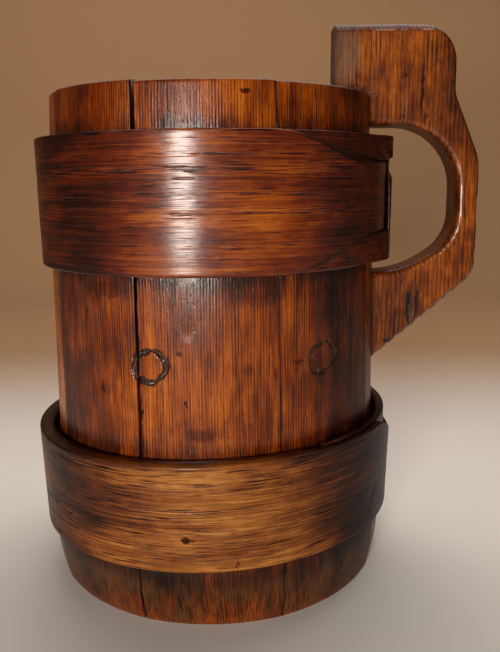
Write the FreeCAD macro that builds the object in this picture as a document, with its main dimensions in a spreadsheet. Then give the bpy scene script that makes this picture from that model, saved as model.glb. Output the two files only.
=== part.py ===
"""Coopered ale mug: eight staves, a bottom board and two lapped bentwood hoops.

One stave carries the handle, which is sawn from the same plank. Lengths are in millimetres and
angles in degrees. Z points up and the handle points along +X. The origin is level with the foot,
halfway between the back of the handle and the far side of the lower hoop, so the mug's axis stands
behind it by axis_setback. An azimuth is counted about that axis from the front, -Y, towards the
handle.
"""
import FreeCAD, Part

import math
import os

import Sketcher

# The sizes that follow from the sheet's own cells, by name, filled in by make_sheet
DERIVED = {}

# The sheet's cells: each size that can be set by itself
SIZES = {
    # Staves, seen in section
    "mug_height": 211.7,
    "rim_radius": 70.0,
    "belly_inset": 0.1,
    "waist_inset": 2.2,
    "foot_radius": 77.8,
    "foot_edge_inset": 3.5,
    "foot_height": 22.0,
    "foot_round_radius": 90.0,
    "rim_wall": 11.5,
    "foot_wall": 14.0,
    "rim_chamfer": 1.0,
    "joint_gap": 0.15,
    "open_joint_rim_gap": 1.7,
    "open_joint_foot_gap": 0.4,
    # Staves, seen from above: the azimuth where the first begins, and how wide each is
    "first_joint_azimuth": -58.8,
    "front_left_angle": 37.4,
    "front_angle": 44.2,
    "front_right_angle": 43.2,
    "handle_stave_angle": 48.0,
    "back_right_angle": 44.0,
    "back_angle": 49.0,
    "back_left_angle": 50.0,
    "front_left_drop": -0.6,
    "front_right_drop": 0.3,
    "left_drop": -0.3,
    "back_left_drop": 0.4,
    "back_drop": 0.2,
    "back_right_drop": 0.6,
    # Bottom board and the croze that holds it
    "board_underside_height": 15.0,
    "board_thickness": 9.0,
    "board_edge_thickness": 5.0,
    "croze_depth": 3.5,
    "board_clearance": 0.1,
    # Ring marks cut into the front
    "ring_share": 0.506,
    "left_ring_azimuth": -17.3,
    "left_ring_radius": 6.4,
    "left_ring_groove_width": 2.8,
    "right_ring_azimuth": 39.1,
    "right_ring_radius": 6.6,
    "right_ring_groove_width": 2.0,
    "ring_groove_depth": 1.0,
    # Handle, sawn from a flat plank
    "plank_thickness": 20.0,
    "handle_stave_extra_wall": 3.0,
    "block_rise": 29.4,
    "block_overhang": 1.0,
    "block_setback": 11.8,
    "block_corner_radius": 16.0,
    "neck_rise": 0.8,
    "neck_radius": 14.0,
    "neck_slope": 22.5,
    "grip_reach": 46.0,
    "grip_depth": 9.6,
    "grip_radius": 20.0,
    "heel_radius": 12.0,
    "arm_slope": 40.3,
    "arm_root_share": 0.375,
    "hole_top_drop": 12.8,
    "hole_length": 64.4,
    "hole_top_share": 0.42,
    "hole_toe_radius": 20.0,
    "hole_slope": 33.0,
    "hole_root_radius": 42.0,
    "hole_root_gap": 1.0,
    "hole_rounding": 3.0,
    "outer_chamfer": 1.2,
    "joinery_depth": 5.0,
    # Upper hoop
    "upper_hoop_drop": 70.6,
    "upper_hoop_width": 53.0,
    "upper_hoop_bottom_thickness": 3.6,
    "upper_hoop_top_thickness": 5.8,
    "upper_hoop_top_gap": 0.5,
    "upper_hoop_tilt": 0.0,
    "upper_lap_azimuth": 3.0,
    "upper_eye_end_azimuth": 12.0,
    "upper_crossing_azimuth": 63.0,
    "upper_tongue_end_azimuth": 106.0,
    "upper_inner_share": 0.46,
    "upper_rail_lift": 4.6,
    "upper_tongue_lift": 1.9,
    "upper_tongue_top_start": -42.0,
    "upper_tongue_top_run": 40.0,
    "upper_tongue_top_drop": 10.7,
    "upper_tongue_bottom_start": -40.0,
    "upper_tongue_bottom_run": 50.0,
    "upper_tongue_bottom_rise": 12.9,
    # Lower hoop
    "lower_hoop_bottom": 26.6,
    "lower_hoop_width": 44.4,
    "lower_hoop_bottom_thickness": 3.3,
    "lower_hoop_top_thickness": 6.5,
    "lower_hoop_top_gap": 2.3,
    "lower_hoop_tilt": 1.75,
    "lower_lap_azimuth": 20.0,
    "lower_eye_end_azimuth": 36.0,
    "lower_crossing_azimuth": 104.0,
    "lower_tongue_end_azimuth": 140.0,
    "lower_inner_share": 0.62,
    "lower_rail_lift": 1.0,
    "lower_tongue_lift": 0.0,
    "lower_tongue_top_start": -26.0,
    "lower_tongue_top_run": 34.0,
    "lower_tongue_top_drop": 12.0,
    "lower_tongue_bottom_start": 4.0,
    "lower_tongue_bottom_run": 26.0,
    "lower_tongue_bottom_rise": 9.0,
    # Both hoops
    "hoop_clearance": 0.1,
    "lap_clearance": 0.25,
    "window_clearance": 0.5,
    "scarf_angle": 18.0,
    "rail_crest_angle": 18.0,
    "crossing_angle": 32.0,
}


class Size:
    """A length or an angle: its number now, and its formula in the sheet's cells."""

    def __init__(self, number, formula):
        self.number = number
        self.formula = formula

    def __add__(self, other):
        other = as_size(other)
        return Size(self.number + other.number, f"({self.formula} + {other.formula})")

    def __sub__(self, other):
        other = as_size(other)
        return Size(self.number - other.number, f"({self.formula} - {other.formula})")

    def __mul__(self, other):
        other = as_size(other)
        return Size(self.number * other.number, f"({self.formula} * {other.formula})")

    def __truediv__(self, other):
        other = as_size(other)
        return Size(self.number / other.number, f"({self.formula} / {other.formula})")

    def __neg__(self):
        return Size(-self.number, f"(0 - {self.formula})")


def as_size(value):
    """Let a plain number stand in a formula."""
    return value if isinstance(value, Size) else Size(float(value), repr(float(value)))


def cell(alias):
    """The size that the sheet holds under this alias."""
    number = DERIVED[alias] if alias in DERIVED else SIZES[alias]
    return Size(float(number), f"Sizes.{alias}")


def sine(angle):
    return Size(math.sin(math.radians(angle.number)), f"sin({angle.formula})")


def cosine(angle):
    return Size(math.cos(math.radians(angle.number)), f"cos({angle.formula})")


def between(start, end, share):
    """The size at a share of the way from start to end."""
    return start + (end - start) * share


def straight_taper(height):
    """The staves' outside if it ran straight from the widest part of the foot to the rim."""
    share = (height - cell("foot_height")) / (cell("mug_height") - cell("foot_height"))
    return between(cell("foot_radius"), cell("rim_radius"), share)


def derived_sizes():
    """Each size that follows from others, after those that it needs."""
    yield "waist_height", cell("lower_hoop_bottom") + cell("lower_hoop_width")
    yield "upper_hoop_bottom", cell("mug_height") - cell("upper_hoop_drop")
    yield "waist_radius", straight_taper(cell("waist_height")) - cell("waist_inset")
    yield "belly_radius", straight_taper(cell("upper_hoop_bottom")) - cell("belly_inset")
    yield "foot_edge_radius", cell("foot_radius") - cell("foot_edge_inset")
    yield "ring_height", between(cell("waist_height"), cell("upper_hoop_bottom"), cell("ring_share"))
    yield "handle_top_height", cell("mug_height") + cell("block_rise")
    yield "neck_height", cell("mug_height") + cell("neck_rise")
    yield "grip_back_reach", cell("belly_radius") + cell("grip_reach")
    yield "block_back_reach", cell("grip_back_reach") - cell("block_setback")
    yield "block_inner_reach", (cell("rim_radius") - cell("rim_wall")
                                - cell("handle_stave_extra_wall") - cell("block_overhang"))
    yield "hole_back_reach", cell("grip_back_reach") - cell("grip_depth")
    yield "hole_top_height", cell("mug_height") - cell("hole_top_drop")
    yield "hole_bottom_height", cell("hole_top_height") - cell("hole_length")
    yield "hole_top_radius", cell("hole_length") * cell("hole_top_share")
    yield "arm_root_height", between(cell("waist_height"), cell("hole_bottom_height"),
                                     cell("arm_root_share"))
    yield "widest_radius", (cell("waist_radius") + cell("hoop_clearance")
                            + cell("lower_hoop_top_gap") + cell("lower_hoop_top_thickness"))
    yield "axis_setback", (cell("grip_back_reach") - cell("widest_radius")) / 2


def make_sheet(doc):
    """Write every size to the sheet with its alias: the driving ones, then what follows from them."""
    sheet = doc.addObject("Spreadsheet::Sheet", "Sizes")
    for row, (alias, value) in enumerate(SIZES.items(), start=1):
        sheet.set(f"A{row}", alias)
        sheet.set(f"B{row}", str(value))
        sheet.setAlias(f"B{row}", alias)
    for row, (alias, size) in enumerate(derived_sizes(), start=len(SIZES) + 1):
        DERIVED[alias] = size.number
        sheet.set(f"A{row}", alias)
        sheet.set(f"B{row}", "=" + size.formula.replace("Sizes.", ""))
        sheet.setAlias(f"B{row}", alias)
    doc.recompute()


def arc_between(start, end, radius, bulge):
    """The arc from start to end, bulging to the left of the way (1) or to the right (-1)."""
    chord = end - start
    half = chord.Length / 2
    left = FreeCAD.Vector(-chord.y, chord.x, 0).normalize()
    sagitta = radius - math.sqrt(radius ** 2 - half ** 2)
    middle = (start + end) / 2 + left * sagitta * bulge
    if bulge < 0:
        return Part.Arc(start, middle, end)
    return Part.Arc(end, middle, start)


def bind(sketch, constraint, size):
    """Add a constraint that follows its formula."""
    number = sketch.addConstraint(constraint)
    sketch.setExpression(f"Constraints[{number}]", size.formula)


def draw_outline(sketch, corners, arcs):
    """Draw a closed outline. arcs gives, for the side after a corner, its radius and its bulge."""
    points = [FreeCAD.Vector(across.number, along.number, 0) for across, along in corners]
    sides = []
    for index, start in enumerate(points):
        end = points[(index + 1) % len(points)]
        if index in arcs:
            radius, bulge = arcs[index]
            side = sketch.addGeometry(arc_between(start, end, radius.number, bulge), False)
            first, last = (1, 2) if bulge < 0 else (2, 1)
            bind(sketch, Sketcher.Constraint("Radius", side, radius.number), radius)
        else:
            side = sketch.addGeometry(Part.LineSegment(start, end), False)
            first, last = 1, 2
        sides.append((side, first, last))
    for index, (side, first, last) in enumerate(sides):
        next_side, next_first, _ = sides[(index + 1) % len(sides)]
        sketch.addConstraint(Sketcher.Constraint("Coincident", side, last, next_side, next_first))
        across, along = corners[index]
        bind(sketch, Sketcher.Constraint("DistanceX", -1, 1, side, first, across.number), across)
        bind(sketch, Sketcher.Constraint("DistanceY", -1, 1, side, first, along.number), along)


def make_body(doc, label):
    body = doc.addObject("PartDesign::Body", label)
    body.Label = label
    return body


def body_sketch(body, name, role, corners, arcs=None):
    """A sketch on one of the body's own origin planes."""
    sketch = body.newObject("Sketcher::SketchObject", name)
    plane = [item for item in body.Origin.OriginFeatures if item.Role == role][0]
    sketch.AttachmentSupport = [(plane, "")]
    sketch.MapMode = "FlatFace"
    draw_outline(sketch, corners, arcs or {})
    return sketch


def stand(feature, azimuth):
    """Stand a piece on the mug's axis, turned so that its own X axis points at this azimuth."""
    feature.Placement = FreeCAD.Placement(
        FreeCAD.Vector(-cell("axis_setback").number, 0, 0),
        FreeCAD.Rotation(FreeCAD.Vector(0, 0, 1), azimuth.number - 90))
    feature.setExpression("Placement.Base.x", (-cell("axis_setback")).formula)
    feature.setExpression("Placement.Rotation.Angle", (azimuth - 90).formula)


def revolve(doc, body, kind, sketch, angle, symmetric):
    """Turn a sketch about the body's upright axis, and check that it adds or cuts."""
    doc.recompute()
    before = body.Shape.Volume if body.Tip else 0.0
    feature = body.newObject(kind, sketch.Name + "Turned")
    feature.Profile = sketch
    feature.ReferenceAxis = (sketch, ["V_Axis"])
    feature.Midplane = symmetric
    feature.Angle = angle.number
    feature.setExpression("Angle", angle.formula)
    sketch.Visibility = False
    doc.recompute()
    if abs(body.Shape.Volume - before) < 1.0:
        raise RuntimeError(f"{feature.Name} changed nothing")
    return feature


def wall_radius(height, extra_wall):
    """The inside of the staves at this height: a straight taper from the foot to the rim."""
    foot = cell("foot_radius") - cell("foot_wall")
    rim = cell("rim_radius") - cell("rim_wall")
    return between(foot, rim, height / cell("mug_height")) - extra_wall


def stave_outside(height):
    """The outside of the staves at this height, between the foot and the rim."""
    foot_height = cell("foot_height")
    waist_height = cell("waist_height")
    belly_height = cell("upper_hoop_bottom")
    if height.number > belly_height.number:
        share = (height - belly_height) / (cell("mug_height") - belly_height)
        return between(cell("belly_radius"), cell("rim_radius"), share)
    if height.number > waist_height.number:
        share = (height - waist_height) / (belly_height - waist_height)
        return between(cell("waist_radius"), cell("belly_radius"), share)
    share = (height - foot_height) / (waist_height - foot_height)
    return between(cell("foot_radius"), cell("waist_radius"), share)


def stave_section(top, extra_wall):
    """The stave's section: radius across, height along, anticlockwise from the foot's inside."""
    floor = as_size(0)
    chamfer = cell("rim_chamfer")
    shoulder = top - chamfer
    corners = [
        (wall_radius(floor, extra_wall), floor),
        (cell("foot_edge_radius"), floor),
        (cell("foot_radius"), cell("foot_height")),
        (cell("waist_radius"), cell("waist_height")),
        (cell("belly_radius"), cell("upper_hoop_bottom")),
        (stave_outside(shoulder), shoulder),
        (stave_outside(top) - chamfer, top),
        (wall_radius(top, extra_wall) + chamfer, top),
        (wall_radius(shoulder, extra_wall), shoulder),
    ]
    return corners, {1: (cell("foot_round_radius"), -1)}


def board_edge(clearance, inner_reach):
    """The bevelled edge that the croze and the board share: a trapezium from inner_reach out."""
    low = cell("board_underside_height") - clearance
    high = cell("board_underside_height") + cell("board_thickness") + clearance
    middle = (low + high) / 2
    half_edge = cell("board_edge_thickness") / 2 + clearance
    edge = wall_radius(middle, as_size(0)) + cell("croze_depth") + clearance
    shoulder = edge - cell("croze_depth") * 2
    return [
        (inner_reach, low),
        (shoulder, low),
        (edge, middle - half_edge),
        (edge, middle + half_edge),
        (shoulder, high),
        (inner_reach, high),
    ]


def cut_croze(doc, body, angle, symmetric):
    """Cut the groove for the bottom board. It starts well inside the wall, so it opens there."""
    inner_reach = wall_radius(cell("mug_height"), as_size(0)) / 2
    sketch = body_sketch(body, body.Label + "_croze", "XZ_Plane",
                         board_edge(cell("board_clearance"), inner_reach))
    revolve(doc, body, "PartDesign::Groove", sketch, angle, symmetric)


def ease_edges(doc, body, name, kind, size, wanted):
    """Ease every edge of the body that wanted picks by its shape, with a Fillet or a Chamfer."""
    names = [f"Edge{number}" for number, edge in enumerate(body.Shape.Edges, start=1) if wanted(edge)]
    if not names:
        raise RuntimeError(f"{name}: no edge to ease")
    eased = body.Tip
    feature = body.newObject(f"PartDesign::{kind}", name)
    feature.Base = (eased, names)
    key = "Radius" if kind == "Fillet" else "Size"
    setattr(feature, key, size.number)
    feature.setExpression(key, size.formula)
    doc.recompute()
    if "Invalid" in feature.State or "Error" in feature.State:
        raise RuntimeError(f"{name} failed")


def cut_ring_mark(doc, body, body_azimuth, side):
    """Cut one ring mark as a round groove in the stave's outside, square in section."""
    azimuth = cell(f"{side}_ring_azimuth") - body_azimuth
    floor_reach = stave_outside(cell("ring_height")) - cell("ring_groove_depth")
    across = floor_reach * cosine(azimuth)
    along = floor_reach * sine(azimuth)
    sketch = body.newObject("Sketcher::SketchObject", f"{body.Label}_{side}_ring")
    facing = FreeCAD.Rotation(FreeCAD.Vector(0, 0, 1), azimuth.number)
    sketch.Placement = FreeCAD.Placement(
        FreeCAD.Vector(across.number, along.number, cell("ring_height").number),
        facing * FreeCAD.Rotation(FreeCAD.Vector(0, 1, 0), 90))
    sketch.setExpression("Placement.Base.x", across.formula)
    sketch.setExpression("Placement.Base.y", along.formula)
    sketch.setExpression("Placement.Base.z", cell("ring_height").formula)
    half_width = cell(f"{side}_ring_groove_width") / 2
    for radius in (cell(f"{side}_ring_radius") - half_width, cell(f"{side}_ring_radius") + half_width):
        circle = sketch.addGeometry(
            Part.Circle(FreeCAD.Vector(), FreeCAD.Vector(0, 0, 1), radius.number), False)
        sketch.addConstraint(Sketcher.Constraint("Coincident", circle, 3, -1, 1))
        bind(sketch, Sketcher.Constraint("Radius", circle, radius.number), radius)
    pocket = body.newObject("PartDesign::Pocket", f"{body.Label}_{side}_ring_mark")
    pocket.Profile = sketch
    pocket.Type = "ThroughAll"
    pocket.Reversed = True
    sketch.Visibility = False
    before = body.Shape.Volume
    doc.recompute()
    cut = before - body.Shape.Volume
    if not 1.0 < cut < 500.0:
        raise RuntimeError(f"{pocket.Name} cut {cut} mm3")


def cut_open_joint(doc, body):
    """Shave the stave's first edge so that its joint stands open, wider at the rim."""
    top = cell("mug_height") + 1
    floor = as_size(-1)
    outside = as_size(-2)
    sketch = body_sketch(body, body.Label + "_open_joint", "YZ_Plane", [
        (outside, floor), (cell("open_joint_foot_gap"), floor),
        (cell("open_joint_rim_gap"), top), (outside, top)])
    pocket = body.newObject("PartDesign::Pocket", body.Label + "_shaved")
    pocket.Profile = sketch
    pocket.Type = "ThroughAll"
    pocket.Midplane = True
    sketch.Visibility = False
    before = body.Shape.Volume
    doc.recompute()
    if body.Shape.Volume > before - 1.0:
        raise RuntimeError("the open joint cut nothing")


def make_stave(doc, label, start, angle, drop, rings, open_joint):
    """A plain stave from azimuth start, less half a joint gap at each edge."""
    gap_angle = cell("joint_gap") / cell("foot_radius") * (180 / math.pi)
    body_azimuth = start + gap_angle / 2
    top = cell("mug_height") - drop
    body = make_body(doc, label)
    corners, arcs = stave_section(top, as_size(0))
    section = body_sketch(body, label + "_section", "XZ_Plane", corners, arcs)
    revolve(doc, body, "PartDesign::Revolution", section, angle - gap_angle, False)
    cut_croze(doc, body, angle - gap_angle, False)
    for side in rings:
        cut_ring_mark(doc, body, body_azimuth, side)
    if open_joint:
        cut_open_joint(doc, body)
    stand(body, body_azimuth)
    return body


def handle_outline():
    """The plank seen from its side: reach from the mug's axis across, height along.

    It runs clockwise from the block's top, down its back, along the arm and round the hole.
    Straight stretches meet in arcs that are tangent to both.
    """
    root = stave_outside(cell("hole_bottom_height")) - cell("joinery_depth")
    top = cell("handle_top_height")
    corner = cell("block_corner_radius")
    back = cell("block_back_reach")
    neck_sine, neck_cosine = sine(cell("neck_slope")), cosine(cell("neck_slope"))
    neck_run = cell("neck_radius") * neck_sine / (neck_cosine + 1)
    grip = cell("grip_back_reach")
    grip_radius = cell("grip_radius")
    grip_start_reach = grip - grip_radius + grip_radius * neck_cosine
    grip_start_height = cell("neck_height") - (grip_start_reach - back) * neck_cosine / neck_sine
    arm_sine, arm_cosine = sine(cell("arm_slope")), cosine(cell("arm_slope"))
    heel = cell("heel_radius")
    heel_end_reach = grip - heel + heel * arm_sine
    heel_end_height = (cell("arm_root_height")
                       + (heel_end_reach - cell("belly_radius")) * arm_sine / arm_cosine)
    arm_root_height = (cell("arm_root_height")
                       - (cell("belly_radius") - root) * arm_sine / arm_cosine)
    hole_sine, hole_cosine = sine(cell("hole_slope")), cosine(cell("hole_slope"))
    hole_back = cell("hole_back_reach")
    hole_bottom = cell("hole_bottom_height")
    flat_end = cell("belly_radius") + cell("hole_root_gap")
    bend_reach = flat_end + cell("hole_root_radius") * hole_sine
    bend_height = hole_bottom + cell("hole_root_radius") * (as_size(1) - hole_cosine)
    toe = cell("hole_toe_radius")
    toe_reach = hole_back - toe + toe * hole_sine
    toe_height = bend_height + (toe_reach - bend_reach) * hole_sine / hole_cosine
    hole_top = cell("hole_top_height")
    hole_round = cell("hole_top_radius")
    corners = [
        (cell("block_inner_reach"), top),
        (back - corner, top),
        (back, top - corner),
        (back, cell("neck_height") + neck_run),
        (back + neck_run * neck_sine, cell("neck_height") - neck_run * neck_cosine),
        (grip_start_reach, grip_start_height),
        (grip, grip_start_height - grip_radius * neck_sine),
        (grip, heel_end_height + heel * arm_cosine),
        (heel_end_reach, heel_end_height),
        (root, arm_root_height),
        (root, hole_bottom),
        (flat_end, hole_bottom),
        (bend_reach, bend_height),
        (toe_reach, toe_height),
        (hole_back, toe_height + toe * hole_cosine),
        (hole_back, hole_top - hole_round),
        (hole_back - hole_round, hole_top),
        (root, hole_top),
        (root, cell("mug_height") - cell("joinery_depth")),
        (cell("block_inner_reach"), cell("mug_height")),
    ]
    arcs = {
        1: (corner, 1),
        3: (cell("neck_radius"), -1),
        5: (grip_radius, 1),
        7: (heel, 1),
        11: (cell("hole_root_radius"), -1),
        13: (toe, -1),
        15: (hole_round, -1),
    }
    return corners, arcs


def make_handle_stave(doc, start):
    """The stave that is left thick and tall, with the handle sawn out of the same plank."""
    label = "handle_stave"
    body = make_body(doc, label)
    corners, arcs = handle_outline()
    outline = body_sketch(body, label + "_outline", "XZ_Plane", corners, arcs)
    plank = body.newObject("PartDesign::Pad", label + "_plank")
    plank.Profile = outline
    plank.Midplane = True
    plank.Length = SIZES["plank_thickness"]
    plank.setExpression("Length", cell("plank_thickness").formula)
    outline.Visibility = False
    doc.recompute()
    half = SIZES["plank_thickness"] / 2
    root = stave_outside(cell("hole_bottom_height")) - cell("joinery_depth")
    hole_bottom = cell("hole_bottom_height").number
    hole_top = cell("hole_top_height").number
    hole_back = cell("hole_back_reach").number

    def on_plank_face(edge):
        level = all(abs(abs(vertex.Y) - half) < 0.001 for vertex in edge.Vertexes)
        return level and abs(edge.CenterOfMass.y) > half - 0.001

    def around_hole(edge):
        middle = edge.CenterOfMass
        below_top = hole_bottom - 0.001 < middle.z < hole_top + 0.001
        in_hole = root.number + 0.001 < middle.x < hole_back + 0.001
        return on_plank_face(edge) and below_top and in_hole

    def around_outside(edge):
        middle = edge.CenterOfMass
        hidden = abs(middle.x - root.number) < 0.001
        return on_plank_face(edge) and not around_hole(edge) and not hidden

    ease_edges(doc, body, label + "_hole_rounding", "Fillet", cell("hole_rounding"), around_hole)
    ease_edges(doc, body, label + "_outer_chamfer", "Chamfer", cell("outer_chamfer"), around_outside)
    gap_angle = cell("joint_gap") / cell("foot_radius") * (180 / math.pi)
    angle = cell("handle_stave_angle") - gap_angle
    corners, arcs = stave_section(cell("mug_height"), cell("handle_stave_extra_wall"))
    section = body_sketch(body, label + "_section", "XZ_Plane", corners, arcs)
    revolve(doc, body, "PartDesign::Revolution", section, angle, True)
    cut_croze(doc, body, angle, True)
    stand(body, start + cell("handle_stave_angle") / 2)
    return body


def make_bottom_board(doc):
    """The round board whose bevelled edge sits in the croze."""
    body = make_body(doc, "bottom_board")
    section = body_sketch(body, "board_section", "XZ_Plane", board_edge(as_size(0), as_size(0)))
    revolve(doc, body, "PartDesign::Revolution", section, as_size(360), False)
    stand(body, as_size(90))
    return body


def hoop_radii(name, height):
    """The inside and the thickness of a hoop's plain band at this height, a wedge in section."""
    bottom = cell(f"{name}_hoop_bottom")
    top = bottom + cell(f"{name}_hoop_width")
    share = (height - bottom) / (top - bottom)
    tilt_drop = cell("foot_radius") * sine(cell(f"{name}_hoop_tilt"))
    low_inside = stave_outside(bottom - tilt_drop) + cell("hoop_clearance")
    high_inside = stave_outside(top) + cell("hoop_clearance") + cell(f"{name}_hoop_top_gap")
    inside = between(low_inside, high_inside, share)
    thickness = between(cell(f"{name}_hoop_bottom_thickness"),
                        cell(f"{name}_hoop_top_thickness"), share)
    return inside, thickness


def plan_sketch(doc, name, height, stations, inside, thickness):
    """A level outline of a strip, in the order of rising azimuth.

    A station is an azimuth, and the strip's inner and outer face there, each as a share of the
    band's thickness and a clearance to add to it.
    """
    outer = [(azimuth, inside + thickness * high[0] + high[1]) for azimuth, _, high in stations]
    inner = [(azimuth, inside + thickness * low[0] + low[1]) for azimuth, low, _ in stations]
    path = outer + inner[::-1]
    corners = [(radius * sine(azimuth), -(radius * cosine(azimuth))) for azimuth, radius in path]
    last_outer = len(outer) - 1
    arcs = {}
    for index in range(len(path) - 1):
        if index != last_outer:
            mean = (path[index][1] + path[index + 1][1]) / 2
            arcs[index] = (mean, -1 if index < last_outer else 1)
    sketch = doc.addObject("Sketcher::SketchObject", name)
    sketch.Placement.Base.z = height.number
    sketch.setExpression("Placement.Base.z", height.formula)
    draw_outline(sketch, corners, arcs)
    sketch.Visibility = False
    return sketch


def make_strip(doc, name, hoop, stations):
    """One length of a hoop's strip, lofted between its lower and its upper outline."""
    margin = cell(f"{hoop}_hoop_width") / 8
    bottom = cell(f"{hoop}_hoop_bottom") - margin
    top = cell(f"{hoop}_hoop_bottom") + cell(f"{hoop}_hoop_width") + margin
    sketches = []
    for end, height in (("low", bottom), ("high", top)):
        inside, thickness = hoop_radii(hoop, height)
        sketches.append(plan_sketch(doc, f"{name}_{end}", height, stations, inside, thickness))
    loft = doc.addObject("Part::Loft", name)
    loft.Sections = sketches
    loft.Solid = True
    loft.Ruled = True
    return loft


def radial_cutter(doc, name, azimuth, reach, corners, arcs):
    """A prism that runs outwards from the axis at this azimuth: across it, and height along."""
    sketch = doc.addObject("Sketcher::SketchObject", name + "_outline")
    draw_outline(sketch, corners, arcs)
    sketch.Visibility = False
    upright = FreeCAD.Rotation(FreeCAD.Vector(1, 0, 0), 90)
    facing = FreeCAD.Rotation(FreeCAD.Vector(0, 0, 1), azimuth.number)
    sketch.Placement = FreeCAD.Placement(FreeCAD.Vector(), facing * upright)
    prism = doc.addObject("Part::Extrusion", name)
    prism.Base = sketch
    prism.DirMode = "Normal"
    prism.LengthFwd = reach.number
    prism.setExpression("LengthFwd", reach.formula)
    prism.Solid = True
    return prism


def band_stations(start, end):
    """The plain single layer, from one azimuth round the back to the other."""
    inside, outside = (as_size(0), as_size(0)), (as_size(1), as_size(0))
    return [(between(start, end, step / 3), inside, outside) for step in range(4)]


def tongue_stations(hoop):
    """The outer end: it thins out over the inner end, then dives through the window behind."""
    share = cell(f"{hoop}_inner_share")
    half_gap = cell("lap_clearance") / 2
    lap = cell(f"{hoop}_lap_azimuth")
    crossing = cell(f"{hoop}_crossing_azimuth")
    end = cell(f"{hoop}_tongue_end_azimuth")
    lift = cell(f"{hoop}_tongue_lift")
    none, full = as_size(0), as_size(1)
    return [
        (lap, (none, none), (full, none)),
        (lap + cell("scarf_angle"), (share, half_gap), (full, none)),
        (crossing, (share, half_gap), (full, none)),
        (crossing + cell("rail_crest_angle"), (share * 0.8, lift), (full - share * 0.2, lift)),
        (crossing + cell("crossing_angle"), (none, none), (full - share, -half_gap)),
        (end, (none, none), ((full - share) * 0.8, -half_gap)),
    ]


def eye_stations(hoop):
    """The inner end: its rails pass over the tongue, and beyond them it lies on the staves."""
    share = cell(f"{hoop}_inner_share")
    half_gap = cell("lap_clearance") / 2
    lift = cell(f"{hoop}_rail_lift")
    crossing = cell(f"{hoop}_crossing_azimuth")
    end = cell(f"{hoop}_tongue_end_azimuth")
    none, full = as_size(0), as_size(1)
    over = full - share
    return [
        (cell(f"{hoop}_eye_end_azimuth"), (none, none), (share * 0.7, -half_gap)),
        (crossing, (none, none), (share, -half_gap)),
        (crossing + cell("rail_crest_angle"), (over, lift + half_gap), (full, lift)),
        (crossing + cell("crossing_angle"), (over, lift / 2 + half_gap), (full, lift / 2)),
        (end, (over, half_gap), (full, none)),
        (end + cell("scarf_angle"), (none, none), (full, none)),
    ]


def reverse_curve(run, rise):
    """The radius of two equal arcs that carry a line across run and up rise, level at both ends."""
    return (run * run + rise * rise) / (rise * 4)


def tongue_outline(hoop):
    """What is left of the outer end, seen along the lap's middle: across it, and height along."""
    bottom = cell(f"{hoop}_hoop_bottom")
    top = bottom + cell(f"{hoop}_hoop_width")
    spare = cell(f"{hoop}_hoop_width")
    far = cell("foot_radius") * 2
    top_start = cell(f"{hoop}_tongue_top_start")
    top_run = cell(f"{hoop}_tongue_top_run")
    drop = cell(f"{hoop}_tongue_top_drop")
    bottom_start = cell(f"{hoop}_tongue_bottom_start")
    bottom_run = cell(f"{hoop}_tongue_bottom_run")
    rise = cell(f"{hoop}_tongue_bottom_rise")
    nose = (cell(f"{hoop}_hoop_width") - drop - rise) / 2
    middle, _ = lap_middle(hoop)
    reach = cell("waist_radius") * sine(cell(f"{hoop}_tongue_end_azimuth") - middle)
    corners = [
        (-far, bottom - spare),
        (-far, top + spare),
        (top_start, top + spare),
        (top_start, top),
        (top_start + top_run / 2, top - drop / 2),
        (top_start + top_run, top - drop),
        (reach - nose, top - drop),
        (reach - nose, bottom + rise),
        (bottom_start + bottom_run, bottom + rise),
        (bottom_start + bottom_run / 2, bottom + rise / 2),
        (bottom_start, bottom),
        (bottom_start, bottom - spare),
    ]
    top_radius = reverse_curve(top_run, drop)
    bottom_radius = reverse_curve(bottom_run, rise)
    arcs = {
        3: (top_radius, 1),
        4: (top_radius, -1),
        6: (nose * 1.2, 1),
        8: (bottom_radius, -1),
        9: (bottom_radius, 1),
    }
    return corners, arcs


def window_outline(hoop):
    """The window in the inner end that the tongue passes through, seen as the tongue is."""
    bottom = cell(f"{hoop}_hoop_bottom") + cell(f"{hoop}_tongue_bottom_rise")
    top = (cell(f"{hoop}_hoop_bottom") + cell(f"{hoop}_hoop_width")
           - cell(f"{hoop}_tongue_top_drop"))
    gap = cell("window_clearance")
    middle, _ = lap_middle(hoop)
    crossing = cell(f"{hoop}_crossing_azimuth")
    near = cell("waist_radius") * sine(crossing - middle) - gap
    far = cell("foot_radius") * sine(crossing + cell("rail_crest_angle") - middle) + gap
    return [(near, bottom - gap), (far, bottom - gap), (far, top + gap), (near, top + gap)]


def lap_middle(hoop):
    """The azimuth that a lap is seen along, and how far its cutters reach."""
    middle = (cell(f"{hoop}_lap_azimuth") + cell(f"{hoop}_tongue_end_azimuth")) / 2
    return middle, cell("foot_radius") * 2


def level_slab(doc, hoop):
    """What lies between a hoop's lower and upper edge, tilted so that the handle's side is high."""
    width = cell(f"{hoop}_hoop_width")
    side = cell("foot_radius") * 3
    tilt = cell(f"{hoop}_hoop_tilt")
    slab = doc.addObject("Part::Box", f"{hoop}_hoop_slab")
    for name, size in (("Length", side), ("Width", side), ("Height", width)):
        setattr(slab, name, size.number)
        slab.setExpression(name, size.formula)
    half = side / 2
    middle = cell(f"{hoop}_hoop_bottom") + width / 2
    corner = (
        width / 2 * sine(tilt) - half * cosine(tilt),
        -half,
        middle - half * sine(tilt) - width / 2 * cosine(tilt),
    )
    slab.Placement = FreeCAD.Placement(
        FreeCAD.Vector(*(size.number for size in corner)),
        FreeCAD.Rotation(FreeCAD.Vector(0, -1, 0), tilt.number))
    for axis, size in zip("xyz", corner):
        slab.setExpression(f"Placement.Base.{axis}", size.formula)
    slab.setExpression("Placement.Rotation.Angle", tilt.formula)
    return slab


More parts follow.
